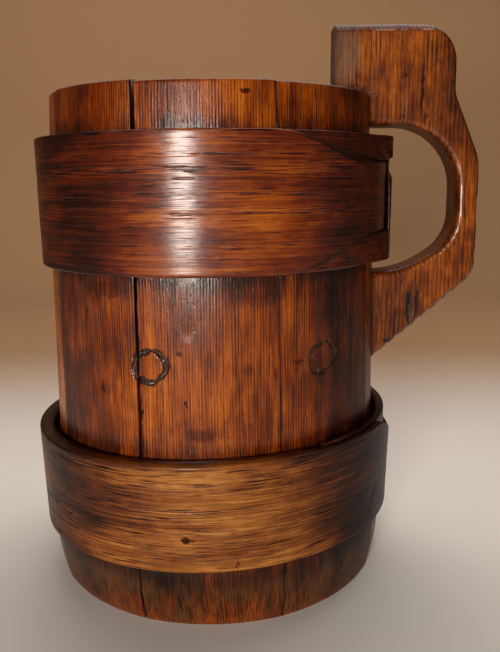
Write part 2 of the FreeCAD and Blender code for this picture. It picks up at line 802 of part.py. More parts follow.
def make_hoop(doc, hoop):
    """One bent strip whose tapered outer end is locked through a window in its inner end."""
    label = f"{hoop}_hoop"
    start = cell(f"{hoop}_tongue_end_azimuth") + cell("scarf_angle")
    band = make_strip(doc, label + "_band", hoop,
                      band_stations(start, cell(f"{hoop}_lap_azimuth") + 360))
    azimuth, reach = lap_middle(hoop)
    corners, arcs = tongue_outline(hoop)
    tongue = doc.addObject("Part::Common", label + "_tongue")
    tongue.Base = make_strip(doc, label + "_outer_end", hoop, tongue_stations(hoop))
    tongue.Tool = radial_cutter(doc, label + "_tongue_form", azimuth, reach, corners, arcs)
    eye = doc.addObject("Part::Cut", label + "_eye")
    eye.Base = make_strip(doc, label + "_inner_end", hoop, eye_stations(hoop))
    eye.Tool = radial_cutter(doc, label + "_window", azimuth, reach, window_outline(hoop), {})
    strip = doc.addObject("Part::MultiFuse", label + "_strip")
    strip.Shapes = [band, tongue, eye]
    piece = doc.addObject("Part::Common", label)
    piece.Base = strip
    piece.Tool = level_slab(doc, hoop)
    piece.Label = label
    stand(piece, as_size(90))
    return piece


def main():
    doc = FreeCAD.newDocument("AleMug")
    make_sheet(doc)
    first = cell("first_joint_azimuth")
    front = first + cell("front_left_angle")
    front_right = front + cell("front_angle")
    handle = front_right + cell("front_right_angle")
    back_right = handle + cell("handle_stave_angle")
    back = back_right + cell("back_right_angle")
    back_left = back + cell("back_angle")
    left = back_left + cell("back_left_angle")
    pieces = [
        make_stave(doc, "stave_front_left", first, cell("front_left_angle"),
                   cell("front_left_drop"), ["left"], False),
        make_stave(doc, "stave_front", front, cell("front_angle"), as_size(0), ["left"], True),
        make_stave(doc, "stave_front_right", front_right, cell("front_right_angle"),
                   cell("front_right_drop"), ["right"], False),
        make_handle_stave(doc, handle),
        make_stave(doc, "stave_back_right", back_right, cell("back_right_angle"),
                   cell("back_right_drop"), [], False),
        make_stave(doc, "stave_back", back, cell("back_angle"), cell("back_drop"), [], False),
        make_stave(doc, "stave_back_left", back_left, cell("back_left_angle"),
                   cell("back_left_drop"), [], False),
        make_stave(doc, "stave_left", left, first + 360 - left, cell("left_drop"), [], False),
        make_bottom_board(doc),
        make_hoop(doc, "upper"),
        make_hoop(doc, "lower"),
    ]
    doc.recompute()
    for item in doc.Objects:
        if "Invalid" in item.State or "Error" in item.State:
            raise RuntimeError(f"{item.Name} failed: {item.State}")
    os.makedirs("parts", exist_ok=True)
    for piece in pieces:
        shape = piece.Shape
        if shape.isNull() or not shape.isValid() or len(shape.Solids) != 1:
            raise RuntimeError(f"{piece.Label} isn't one valid solid")
        print(piece.Label, round(shape.Volume / 1000, 2), "cm3", shape.BoundBox)
        shape.exportStep(f"parts/{piece.Label}.step")


main()
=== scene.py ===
"""Coopered ale mug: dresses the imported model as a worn, stained and varnished wooden mug.

Lengths in the tables below are in millimetres. An azimuth is counted in degrees about the mug's
axis from the front, -Y, towards the handle at +X.
"""
import math

import bmesh
import bpy
import numpy as np
from mathutils import Matrix, Vector


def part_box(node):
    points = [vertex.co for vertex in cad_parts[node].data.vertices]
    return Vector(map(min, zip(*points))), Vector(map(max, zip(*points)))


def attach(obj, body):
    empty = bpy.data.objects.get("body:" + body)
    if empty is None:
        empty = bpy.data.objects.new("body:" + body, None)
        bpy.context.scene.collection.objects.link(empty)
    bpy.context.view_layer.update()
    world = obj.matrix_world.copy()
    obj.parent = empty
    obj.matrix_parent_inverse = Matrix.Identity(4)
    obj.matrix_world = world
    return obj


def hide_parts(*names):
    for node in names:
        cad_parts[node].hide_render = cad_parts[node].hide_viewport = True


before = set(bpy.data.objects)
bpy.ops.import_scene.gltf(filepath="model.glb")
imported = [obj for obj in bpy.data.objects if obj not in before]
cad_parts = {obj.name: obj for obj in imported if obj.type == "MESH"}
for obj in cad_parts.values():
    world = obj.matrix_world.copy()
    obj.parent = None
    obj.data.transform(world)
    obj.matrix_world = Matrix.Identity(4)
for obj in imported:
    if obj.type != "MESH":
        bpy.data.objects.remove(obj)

bl_info = {
    "name": "Coopered Ale Mug",
    "version": (1, 0, 0),
    "blender": (4, 5, 0),
    "location": "View3D > Sidebar > Ale Mug",
    "description": "Builds the staves, hoops and handle of a coopered ale mug and its stage",
    "category": "Object",
}

MM = 0.001
BOARD_LOW, BOARD_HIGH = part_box("bottom_board")
AXIS_X = (BOARD_LOW.x + BOARD_HIGH.x) / 2 / MM
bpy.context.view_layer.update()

# The staves' outside, as radius at height, and their inside
MUG_HEIGHT = 211.7
FOOT_HEIGHT = 22.0
WAIST_HEIGHT = 71.0
BELLY_HEIGHT = 141.1
OUTSIDE_HEIGHTS = (FOOT_HEIGHT, WAIST_HEIGHT, BELLY_HEIGHT, MUG_HEIGHT)
OUTSIDE_RADII = (77.8, 73.59, 72.8, 70.0)
FOOT_FLAT_RADIUS = 73.7
FOOT_ARC_CENTRE = (-12.15, 25.03)
FOOT_ARC_RADIUS = 90.0
INSIDE_FOOT_RADIUS = 63.8
INSIDE_RIM_RADIUS = 58.5
CROZE = ((63.2, 23.1), (66.9, 22.1), (66.9, 16.9), (63.4, 15.9))
ABOVE_CROZE = 24.5
RIM_ROUNDING = 1.2
FOOT_ROUNDING = 0.35
# How far the middle of a stave's face lies inside the true circle
STAVE_FLATNESS = 0.3
# The radius at which distances round the mug are counted
ROLL_RADIUS = 74.0

# Each plain stave: its node, the azimuth where it starts, its width in degrees and its drop at
# the rim
STAVES = (
    ("stave_front_left", -58.8, 37.4, -0.6),
    ("stave_front", -21.4, 44.2, 0.0),
    ("stave_front_right", 22.8, 43.2, 0.3),
    ("stave_back_right", 114.0, 44.0, 0.6),
    ("stave_back", 158.0, 49.0, 0.2),
    ("stave_back_left", 207.0, 50.0, 0.4),
    ("stave_left", 257.0, 44.2, -0.3),
)
JOINT_GAP = 0.15
JOINT_EASING = 0.22
# The joint that has shrunk open, with its widths at the foot and at the rim
OPEN_JOINT_AZIMUTH = -21.4
OPEN_JOINT_GAPS = (0.2, 1.3)
OPEN_JOINT_EASING = 0.5

# Each ring mark burnt and gouged into the front: azimuth, height, radius, half width and depth
RING_MARKS = (
    (-17.3, 106.5, 6.5, 1.15, 0.9),
    (38.9, 106.7, 6.4, 0.85, 0.6),
)
MARKED_HEIGHTS = (97.0, 116.0)

# Each hoop: its lower edge, width, thickness and lap, as the solids have them, and the depth of
# the chip in its rail
HOOPS = {
    "upper": {
        "bottom": 141.1, "width": 53.0, "thickness": (3.6, 5.8), "gap": (0.1, 0.6), "tilt": 0.0,
        "lap": 3.0, "eye_end": 12.0, "crossing": 63.0, "tongue_end": 106.0,
        "inner_share": 0.46, "rail_lift": 4.6, "tongue_lift": 1.9,
        "tongue_top": (-42.0, 40.0, 10.7), "tongue_bottom": (-40.0, 50.0, 12.9),
        "chip_depth": 1.5,
    },
    "lower": {
        "bottom": 26.6, "width": 44.4, "thickness": (3.3, 6.5), "gap": (0.3, 2.4), "tilt": 1.75,
        "lap": 20.0, "eye_end": 36.0, "crossing": 104.0, "tongue_end": 140.0,
        "inner_share": 0.62, "rail_lift": 1.0, "tongue_lift": 0.0,
        "tongue_top": (-26.0, 34.0, 12.0), "tongue_bottom": (4.0, 26.0, 9.0),
        "chip_depth": 0.0,
    },
}
SCARF_ANGLE = 18.0
RAIL_CREST_ANGLE = 18.0
CROSSING_ANGLE = 32.0
LAP_CLEARANCE = 0.25
WINDOW_CLEARANCE = 0.5
# The radius where a hoop's tilt is counted, and those of the tongue's shape and its window's end
TILT_RADIUS = 77.0
TONGUE_RADIUS = 73.6
WINDOW_RADIUS = 77.8
HOOP_CORNER = 0.9
HOOP_FACE_ROWS = 131
# Degrees between a hoop's sections, up to an azimuth at the back and from there round the lap
BACK_STEP, LAP_STEP = 1.3, 0.8
LAP_SIDE_START = 270

HANDLE_TOP = 241.1
PLANK_HALF_DEPTH = 10.05
# Where the lower edge of the handle's arm starts, as reach and height, and its slope in degrees
ARM_START = (72.8, 95.0)
ARM_SLOPE = 40.3
# Where the back of the grip is worn in nicks, as reach, lowest and highest
HANDLE_BACK = 117.2
NICKED_HEIGHTS = (126, 186)

# The camera fitted to the photo: its place from the mug's axis, and its yaw, pitch and roll
CAMERA_PLACE = (17.8, -339.7, 175.4)
CAMERA_TURN = (-0.19, -11.18, -0.61)
CAMERA_LENS = 40.3

# Dark marks, as the photo has them: across, along, half their width, half their length and their
# strength. The broad marks over the left and right sides of the staves and hoops are partly darker
# stain and partly painted shade, where the sides turn away from the lamp. The handle's grey patches
# are told the same way
# The marks at -66, -86 and 84 across darken the staves' left and right sides: partly darker stain,
# partly painted shade
STAVE_MARKS_AND_SIDE_SHADE = (
    (-66.0, 105.0, 30.0, 150.0, 0.2),
    (-44.9, 95.6, 1.2, 2.4, 0.5), (-7.9, 92.2, 0.9, 1.5, 0.6), (17.0, 207.4, 1.8, 0.9, 0.6),
    (28.5, 21.4, 1.2, 2.0, 0.6), (38.3, 106.4, 3.0, 1.0, 0.4), (48.5, 88.3, 2.6, 1.6, 0.35),
    (-10.4, 111.7, 1.8, 1.2, 0.4), (-14.6, 109.0, 1.6, 3.0, 0.3), (16.3, 105.4, 2.2, 2.4, 0.15),
    (28.0, 102.4, 0.9, 2.5, 0.25), (84.0, 115.0, 46.0, 160.0, 0.45),
    (22.5, 135.0, 16.0, 6.0, 0.16), (-86.0, 105.0, 34.0, 130.0, 0.34), (4.0, 139.0, 22.0, 5.0, 0.2),
    (-44.0, 135.5, 14.0, 4.0, 0.3), (-26.4, 83.0, 0.7, 12.0, 0.7), (-2.0, 80.0, 7.0, 3.0, 0.25),
)
HANDLE_MARKS = (
    (84.8, 219.7, 1.5, 1.2, 0.35), (92.6, 216.0, 0.6, 13.0, 0.45), (94.0, 202.0, 0.8, 3.0, 0.4),
    (89.4, 118.0, 1.3, 9.0, 0.6), (93.0, 121.0, 0.8, 9.0, 0.4), (84.5, 204.0, 0.6, 3.0, 0.35),
    (80.0, 103.0, 2.0, 1.0, 0.4), (62.0, 214.0, 7.0, 2.0, 0.25),
)
GREY_PATCHES = ((58.0, 228.0, 11.0, 17.0, 0.9), (90.5, 117.0, 1.6, 9.0, 0.8))
# The marks at -86, 88, 104, -90 and 92 across darken both hoops' left and right sides: partly
# darker stain, partly painted shade
HOOP_MARKS_AND_SIDE_SHADE = (
    (-7.5, 40.8, 2.1, 1.2, 0.7), (-49.7, 170.4, 1.2, 1.2, 0.5),
    (-86.0, 168.0, 62.0, 110.0, 0.5), (88.0, 168.0, 48.0, 80.0, 0.42),
    (104.0, 168.0, 15.0, 60.0, 0.5), (10.4, 29.6, 0.4, 2.0, 0.4), (-90.0, 45.0, 62.0, 90.0, 0.4),
    (92.0, 50.0, 58.0, 90.0, 0.5),
)

# The wood's pattern: how far the boards lie apart in it, how much the grain slants through a
# stave, and how many years' width the rings wander
BOARD_SHIFT = 370.0
GRAIN_SLANT = 0.35
RING_WANDER = 2.4
WOOD_IOR = 1.5
BARE_SPECULAR = 0.08
BOARD_RING_SPACING = 3.0


def linear(hex_colour):
    """An sRGB hex colour as linear red, green, blue and alpha."""
    parts = [int(hex_colour[place:place + 2], 16) / 255 for place in (1, 3, 5)]
    return [part / 12.92 if part <= 0.04045 else ((part + 0.055) / 1.055) ** 2.4
            for part in parts] + [1.0]


def add(tree, kind, values=None, output=0, **settings):
    """Add a node with its settings, fill or link its inputs, and return one of its outputs."""
    node = tree.nodes.new(kind)
    for key, value in settings.items():
        setattr(node, key, value)
    for key, value in (values or {}).items():
        if isinstance(value, bpy.types.NodeSocket):
            tree.links.new(value, node.inputs[key])
        else:
            node.inputs[key].default_value = value
    return node.outputs[output]


# Shapes

def stave_outside(height):
    """The radius of the staves' outside at each height."""
    height = np.asarray(height, float)
    above = np.interp(height, OUTSIDE_HEIGHTS, OUTSIDE_RADII)
    centre_radius, centre_height = FOOT_ARC_CENTRE
    reach = np.sqrt(FOOT_ARC_RADIUS ** 2 - (np.minimum(height, FOOT_HEIGHT) - centre_height) ** 2)
    return np.where(height < FOOT_HEIGHT, centre_radius + reach, above)


def stave_inside(height):
    share = np.asarray(height, float) / MUG_HEIGHT
    return INSIDE_FOOT_RADIUS + (INSIDE_RIM_RADIUS - INSIDE_FOOT_RADIUS) * share


def stave_loop(top, marked):
    """A stave's section as radius, height and whether it lies outside, from the foot's inside."""
    steps = [0.0, 0.25, 0.6, 1.0]
    height = 1.8
    shoulder = top - RIM_ROUNDING
    while height < shoulder:
        steps.append(height)
        height += 0.4 if marked and MARKED_HEIGHTS[0] < height < MARKED_HEIGHTS[1] else 1.4
    heights = np.array(steps + [shoulder])
    turns = np.radians(np.linspace(0, 90, 7))[1:]
    rim_outer = stave_outside(shoulder) - RIM_ROUNDING
    rim_inner = stave_inside(shoulder) + RIM_ROUNDING
    loop = [(radius, 0.0, False) for radius in np.linspace(INSIDE_FOOT_RADIUS, FOOT_FLAT_RADIUS, 6)]
    loop += [(radius - FOOT_ROUNDING * max(0.0, 1 - height), height, True)
             for radius, height in zip(stave_outside(heights), heights)]
    loop += [(rim_outer + RIM_ROUNDING * math.cos(turn), shoulder + RIM_ROUNDING * math.sin(turn),
              True) for turn in turns]
    loop += [(radius, top, False) for radius in np.linspace(rim_outer, rim_inner, 8)[1:]]
    loop += [(rim_inner - RIM_ROUNDING * math.sin(turn), shoulder + RIM_ROUNDING * math.cos(turn),
              False) for turn in turns]
    inside = np.linspace(shoulder, ABOVE_CROZE, 40)[1:]
    loop += [(radius, height, False) for radius, height in zip(stave_inside(inside), inside)]
    loop += [(radius, height, False) for radius, height in CROZE]
    loop += [(float(stave_inside(height)), height, False) for height in (12.0, 8.0, 4.0)]
    radii, heights, outside = (np.array(column) for column in zip(*loop))
    return radii, heights, outside


def spaced_columns(width, step):
    """Distances across a stave, close together at its edges."""
    edge, inset = [0.0, 0.06, 0.16, 0.32, 0.55, 0.85, 1.2], 1.6
    count = max(2, int(round((width - 2 * inset) / step)))
    middle = list(np.linspace(inset, width - inset, count))
    return np.array(edge + middle + [width - place for place in reversed(edge)])


def ring_gouge(azimuths, heights):
    """How deep the ring marks are cut at each place, and how charred the wood is there."""
    depth = np.zeros_like(heights)
    char = np.zeros_like(heights)
    for azimuth, height, radius, half_width, deep in RING_MARKS:
        across = np.radians(azimuths - azimuth) * ROLL_RADIUS
        along = heights - height
        reach = np.hypot(across, along)
        turn = np.arctan2(along, across)
        path = radius * (1 + 0.07 * np.sin(2 * turn + 0.8) + 0.04 * np.sin(5 * turn + 2.0))
        width = half_width * (1 + 0.28 * np.sin(3 * turn + 1.1) + 0.22 * np.sin(8 * turn + 0.4)
                              + 0.12 * np.sin(17 * turn))
        off = np.abs(reach - path) / width
        here = deep * (1 + 0.35 * np.sin(6 * turn + 2.6)) * np.sqrt(np.clip(1 - off ** 2, 0, 1))
        depth = np.maximum(depth, here)
        char = np.maximum(char, np.clip(1.7 - off * 1.2, 0, 1))
    return depth, char


def to_points(azimuths, radii, heights):
    """Places round the mug as points in metres."""
    turn = np.radians(azimuths)
    return np.stack([AXIS_X + radii * np.sin(turn), -radii * np.cos(turn), heights], axis=-1) * MM


def unroll(azimuths, radii, heights):
    """The same places laid flat, in millimetres: round the mug, out from its wall, and up."""
    return np.stack([np.radians(azimuths) * ROLL_RADIUS, radii - ROLL_RADIUS, heights], axis=-1)


def swept_mesh(name, azimuths, radii, heights):
    """A mesh of closed loops side by side, with a face over the loop at each end."""
    index = np.arange(radii.size).reshape(radii.shape)
    after = np.roll(index, -1, axis=1)
    quads = np.stack([index[:-1], after[:-1], after[1:], index[1:]], axis=-1).reshape(-1, 4)
    mesh = bpy.data.meshes.new(name)
    mesh.from_pydata(to_points(azimuths, radii, heights).reshape(-1, 3).tolist(), [],
                     quads.tolist() + index[[0, -1]].tolist())
    mesh.update()
    return mesh


def store(mesh, name, values, kind="FLOAT"):
    """Keep values on the mesh's points, for its material and its surface."""
    attribute = mesh.attributes.new(name, kind, "POINT")
    key = "vector" if kind == "FLOAT_VECTOR" else "value"
    attribute.data.foreach_set(key, np.ascontiguousarray(values, np.float32).ravel())


def close_shell(mesh, merge):
    """Merge doubles and make every face point outwards."""
    shell = bmesh.new()
    shell.from_mesh(mesh)
    bmesh.ops.remove_doubles(shell, verts=shell.verts, dist=merge)
    bmesh.ops.recalc_face_normals(shell, faces=shell.faces)
    shell.to_mesh(mesh)
    shell.free()


def is_open_joint(azimuth):
    return abs(azimuth - OPEN_JOINT_AZIMUTH) < 0.1


def stave_blank(name, start, width, drop, plank):
    """One stave as a closed shell: straight joint edges eased by wear, and any ring mark cut in."""
    marked = any(start - 8 < ring[0] < start + width + 8 for ring in RING_MARKS)
    radii, heights, outside = stave_loop(MUG_HEIGHT - drop, marked)
    gap = math.degrees(JOINT_GAP / OUTSIDE_RADII[0])
    first, last = start + gap / 2, start + width - gap / 2
    across = spaced_columns(math.radians(last - first) * ROLL_RADIUS, 0.38 if marked else 0.5)
    share = (across / across[-1])[:, None]
    opened = np.zeros_like(heights)
    if is_open_joint(start):
        wobble = 0.16 * np.sin(heights * 0.23) + 0.12 * np.sin(heights * 0.71 + 1.0)
        opened = np.degrees((np.interp(heights, (0, MUG_HEIGHT), OPEN_JOINT_GAPS) + wobble)
                            / np.maximum(radii, 1))
    azimuths = first + opened + share * (last - first - opened)
    radii = np.repeat(radii[None, :], len(across), axis=0)
    heights = np.repeat(heights[None, :], len(across), axis=0)
    edge = np.minimum(across, across[-1] - across)[:, None]
    worn = np.where(share < 0.5, is_open_joint(start), is_open_joint(start + width))
    easing = np.where(worn, OPEN_JOINT_EASING, JOINT_EASING)
    eased = easing - np.sqrt(np.clip(easing ** 2 - (easing - edge) ** 2, 0, 1))
    eased = np.where(edge < easing, eased, 0.0)
    flat = STAVE_FLATNESS * (1 - (2 * share - 1) ** 2)
    depth, char = ring_gouge(azimuths, heights)
    radii = radii - outside * (eased + flat + depth)
    mesh = swept_mesh(name, azimuths, radii, heights)
    store(mesh, "unrolled", unroll(azimuths, radii, heights), "FLOAT_VECTOR")
    store(mesh, "char", char * outside)
    store(mesh, "edge", np.repeat(edge, radii.shape[1], axis=1))
    store(mesh, "plank", np.full(radii.size, plank))
    store(mesh, "ridged", np.clip(1 - char, 0, 1) * np.where(outside, 1.0, 0.5))
    close_shell(mesh, 1e-7)
    return mesh


def hoop_rise(hoop, azimuths):
    """How much the hoop's tilt lifts it at each azimuth."""
    return np.sin(np.radians(azimuths)) * TILT_RADIUS * math.tan(math.radians(hoop["tilt"]))


def hoop_edges(hoop, azimuths):
    """The heights of a hoop's lower and upper edge round the mug."""
    rise = hoop_rise(hoop, azimuths)
    return hoop["bottom"] + rise, hoop["bottom"] + hoop["width"] + rise


def hoop_wall(hoop, heights):
    """A hoop's inside radius and its thickness at each height."""
    share = (heights - hoop["bottom"]) / hoop["width"]
    low = float(stave_outside(hoop["bottom"])) + hoop["gap"][0]
    high = float(stave_outside(hoop["bottom"] + hoop["width"])) + hoop["gap"][1]
    return low + (high - low) * share, hoop["thickness"][0] + np.ptp(hoop["thickness"]) * share


def strip_loops(hoop, lows, highs, inner, outer):
    """A strip's sections side by side: rounded outer corners, and a finely divided outside."""
    face = np.linspace(0, 1, HOOP_FACE_ROWS)[1:-1]
    down = np.linspace(0, 1, 10)[1:-1]
    turns = np.radians(np.linspace(-90, 0, 5))
    all_radii, all_heights = [], []
    for low, high, (in_share, in_add), (out_share, out_add) in zip(lows, highs, inner, outer):
        inside, thick = hoop_wall(hoop, np.array([low, high]))
        in_radii = inside + thick * in_share + in_add
        out_radii = inside + thick * out_share + out_add
        corner = min(HOOP_CORNER, 0.45 * float((out_radii - in_radii).min()))
        span = high - low

        def out_at(height):
            return out_radii[0] + (out_radii[1] - out_radii[0]) * (height - low) / span

        faces = low + corner + face * (span - 2 * corner)
        middle = (in_radii + out_radii) / 2
        all_heights.append(np.concatenate([
            [low, low], low + corner + corner * np.sin(turns), faces,
            high - corner - corner * np.sin(turns[::-1]), [high, high], high - span * down]))
        all_radii.append(np.concatenate([
            [in_radii[0], middle[0]], out_at(low + corner) - corner + corner * np.cos(turns),
            out_at(faces), out_at(high - corner) - corner + corner * np.cos(turns[::-1]),
            [middle[1], in_radii[1]], in_radii[1] + (in_radii[0] - in_radii[1]) * down]))
    outside = [False] * 2 + [True] * (len(turns) * 2 + len(face)) + [False] * (2 + len(down))
    return np.array(all_radii), np.array(all_heights), np.array([outside] * len(all_radii))


def smooth_step(values, start, run):
    """0 before start, 1 after start + run, and a smooth rise between."""
    share = np.clip((values - start) / run, 0, 1)
    return share * share * (3 - 2 * share)


def store_hoop_place(mesh, hoop, azimuths, radii, heights, seam):
    """Keep where each point lies on the hoop laid flat, and how near the tongue's edge it is."""
    level = heights - hoop_edges(hoop, azimuths)[0] + hoop["bottom"]
    store(mesh, "unrolled", unroll(azimuths, radii, level), "FLOAT_VECTOR")
    store(mesh, "seam", seam)


def lap_middle(hoop):
    return (hoop["lap"] + hoop["tongue_end"]) / 2


def station(azimuths, table):
    """Shares and additions of a lap's face at each azimuth, from a table of stations, eased."""
    places, *columns = zip(*table)
    return list(zip(*(np.mean([np.interp(azimuths + turn, places, column)
                               for turn in (-4, -2, 0, 2, 4)], axis=0) for column in columns)))


def band_and_tongue(hoop):
    """The strip from behind the window, round the back, to the tongue's nose."""
    share, gap, lift = hoop["inner_share"], LAP_CLEARANCE / 2, hoop["tongue_lift"]
    lap, crossing, end = (hoop[key] + 360 for key in ("lap", "crossing", "tongue_end"))
    azimuths = np.concatenate([
        np.arange(hoop["tongue_end"] + SCARF_ANGLE, LAP_SIDE_START, BACK_STEP),
        np.arange(LAP_SIDE_START, end - 6, LAP_STEP), np.linspace(end - 6, end, 12)])
    inner = station(azimuths, [
        (lap, 0, 0), (lap + SCARF_ANGLE, share, gap), (crossing, share, gap),
        (crossing + RAIL_CREST_ANGLE, share * 0.8, lift), (crossing + CROSSING_ANGLE, 0, 0),
        (end, 0, 0)])
    outer = station(azimuths, [
        (crossing, 1, 0), (crossing + RAIL_CREST_ANGLE, 1 - share * 0.2, lift),
        (crossing + CROSSING_ANGLE, 1 - share, -gap), (end, (1 - share) * 0.8, -gap)])
    lows, highs = hoop_edges(hoop, azimuths)
    from_middle = np.clip(azimuths - 360 - lap_middle(hoop), -90, 90)
    reach = TONGUE_RADIUS * np.sin(np.radians(from_middle))
    reach = np.where(azimuths < LAP_SIDE_START, -1000, reach)
    top_start, top_run, drop = hoop["tongue_top"]
    bottom_start, bottom_run, rise = hoop["tongue_bottom"]
    nose = (hoop["width"] - drop - rise) / 2
    into_nose = np.clip((reach - reach[-1] + nose) / nose, 0, 0.995)
    pinch = nose * (1 - np.sqrt(1 - into_nose ** 2))
    highs = highs - drop * smooth_step(reach, top_start, top_run) - pinch
    lows = lows + rise * smooth_step(reach, bottom_start, bottom_run) + pinch
    radii, heights, _ = strip_loops(hoop, lows, highs, inner, outer)
    return azimuths, radii, heights


def inner_end(hoop):
    """The strip's inner end, from its thin tip under the tongue to the plain band."""
    share, gap, lift = hoop["inner_share"], LAP_CLEARANCE / 2, hoop["rail_lift"]
    crossing, end = hoop["crossing"], hoop["tongue_end"]
    azimuths = np.arange(hoop["eye_end"], end + SCARF_ANGLE, LAP_STEP)
    azimuths = np.append(azimuths, end + SCARF_ANGLE)
    crest, over = crossing + RAIL_CREST_ANGLE, 1 - share
    inner = station(azimuths, [
        (crossing, 0, 0), (crest, over, lift + gap),
        (crossing + CROSSING_ANGLE, over, lift / 2 + gap), (end, over, gap),
        (end + SCARF_ANGLE, 0, 0)])
    outer = station(azimuths, [
        (hoop["eye_end"], share * 0.7, -gap), (crossing, share, -gap), (crest, 1, lift),
        (crossing + CROSSING_ANGLE, 1, lift / 2), (end, 1, 0)])
    lows, highs = hoop_edges(hoop, azimuths)
    radii, heights, outside = strip_loops(hoop, lows, highs, inner, outer)
    # The chip at the corner of the upper hoop's rail, along a wavy break
    chip_middle, chip_half_width, chip_bottom = crest + 2, 17, 176
    near = np.clip(1 - np.abs(azimuths - chip_middle) / chip_half_width, 0, 1)[:, None]
    break_line = (hoop["bottom"] + hoop["width"] - 6.5 + 1.6 * np.sin(azimuths * 0.9)[:, None]
                  + 0.8 * np.sin(azimuths * 2.3)[:, None])
    chipped = smooth_step(break_line - heights, 0, 1.2) * smooth_step(heights, chip_bottom, 4)
    radii = radii - outside * chipped * hoop["chip_depth"] * smooth_step(near, 0.0, 0.5)
    return azimuths, radii, heights


def window_cutter(hoop):
    """The block that cuts the window through the inner end, seen along the lap's middle."""
    middle = lap_middle(hoop)
    near_turn, far_turn = (math.radians(place - middle) for place in (
        hoop["crossing"], hoop["crossing"] + RAIL_CREST_ANGLE))
    near = TONGUE_RADIUS * math.sin(near_turn) - WINDOW_CLEARANCE
    far = WINDOW_RADIUS * math.sin(far_turn) + WINDOW_CLEARANCE
    rise = hoop_rise(hoop, middle)
    low = hoop["bottom"] + hoop["tongue_bottom"][2] - WINDOW_CLEARANCE + rise
    high = hoop["bottom"] + hoop["width"] - hoop["tongue_top"][2] + WINDOW_CLEARANCE + rise
    block_radius, block_depth = 75.0, 60.0
    block = bmesh.new()
    bmesh.ops.create_cube(block, size=1.0)
    shape = (Matrix.Rotation(math.radians(middle), 4, "Z")
             @ Matrix.Translation(((near + far) / 2, -block_radius, (low + high) / 2))
             @ Matrix.Diagonal((far - near, block_depth, high - low, 1.0)))
    bmesh.ops.transform(block, matrix=shape, verts=block.verts)
    for corner in block.verts:
        corner.co = Vector(((corner.co.x + AXIS_X) * MM, corner.co.y * MM, corner.co.z * MM))
    mesh = bpy.data.meshes.new("window_cutter")
    block.to_mesh(mesh)
    block.free()
    return link("window_cutter", mesh)


def mesh_of(blank):
    """The blank's mesh with its modifiers applied."""
    bpy.context.view_layer.update()
    graph = bpy.context.evaluated_depsgraph_get()
    return bpy.data.meshes.new_from_object(blank.evaluated_get(graph), depsgraph=graph)


def link(name, mesh):
    piece = bpy.data.objects.new(name, mesh)
    bpy.context.scene.collection.objects.link(piece)
    return piece


def read_points(mesh):
    points = np.empty(len(mesh.vertices) * 3, np.float32)
    mesh.vertices.foreach_get("co", points)
    return points.reshape(-1, 3).astype(float) / MM


def hoop_blank(side):
    """A hoop as one closed shell, its tongue through the window in its inner end."""
    hoop = HOOPS[side]
    azimuths, radii, heights = inner_end(hoop)
    eye = swept_mesh("inner_end", azimuths[:, None], radii, heights)
    close_shell(eye, 1e-7)
    blank, cutter = link("inner_end", eye), window_cutter(hoop)
    cut = blank.modifiers.new("Window", "BOOLEAN")
    cut.operation, cut.solver, cut.object = "DIFFERENCE", "EXACT", cutter
    eye = mesh_of(blank)
    for done in (blank, cutter):
        bpy.data.objects.remove(done)
    x, y, z = read_points(eye).T
    x -= AXIS_X
    turned = np.degrees(np.arctan2(x, -y)) % 360
    store_hoop_place(eye, hoop, turned, np.hypot(x, y), z, np.zeros(len(z)))

    azimuths, radii, heights = band_and_tongue(hoop)
    azimuths = azimuths[:, None] + np.zeros_like(radii)
    band = swept_mesh("band", azimuths, radii, heights)
    own_edge = np.minimum(heights - heights.min(axis=1, keepdims=True),
                          heights.max(axis=1, keepdims=True) - heights)
    low, high = hoop_edges(hoop, azimuths)
    off_plain_edge = smooth_step(np.minimum(heights - low, high - heights), 1, 2)
    store_hoop_place(band, hoop, azimuths, radii, heights,
                     np.clip(1.3 - own_edge, 0, 1) * off_plain_edge)
    close_shell(band, 1e-7)
    shell = bmesh.new()
    shell.from_mesh(eye)
    shell.from_mesh(band)
    both = bpy.data.meshes.new(side + "_hoop")
    shell.to_mesh(both)
    shell.free()
    return both


def cut_evenly(mesh, steps):
    """Cut flat faces into small ones: each axis has its planes' step, first place and last."""
    shell = bmesh.new()
    shell.from_mesh(mesh)
    bmesh.ops.dissolve_limit(shell, angle_limit=math.radians(0.5), verts=shell.verts,
                             edges=shell.edges)
    for axis, (step, low, high) in enumerate(steps):
        normal = Vector((0, 0, 0))
        normal[axis] = 1
        for place in np.arange(low, high, step):
            bmesh.ops.bisect_plane(shell, geom=shell.verts[:] + shell.edges[:] + shell.faces[:],
                                   dist=1e-6, plane_co=normal * (float(place) * MM),
                                   plane_no=normal)
    shell.to_mesh(mesh)
    shell.free()


def solid_copy(node):
    """A merged copy of a solid's mesh, which comes as loose triangles."""
    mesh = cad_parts[node].data.copy()
    mesh.materials.clear()
    close_shell(mesh, 1e-6)
    return mesh


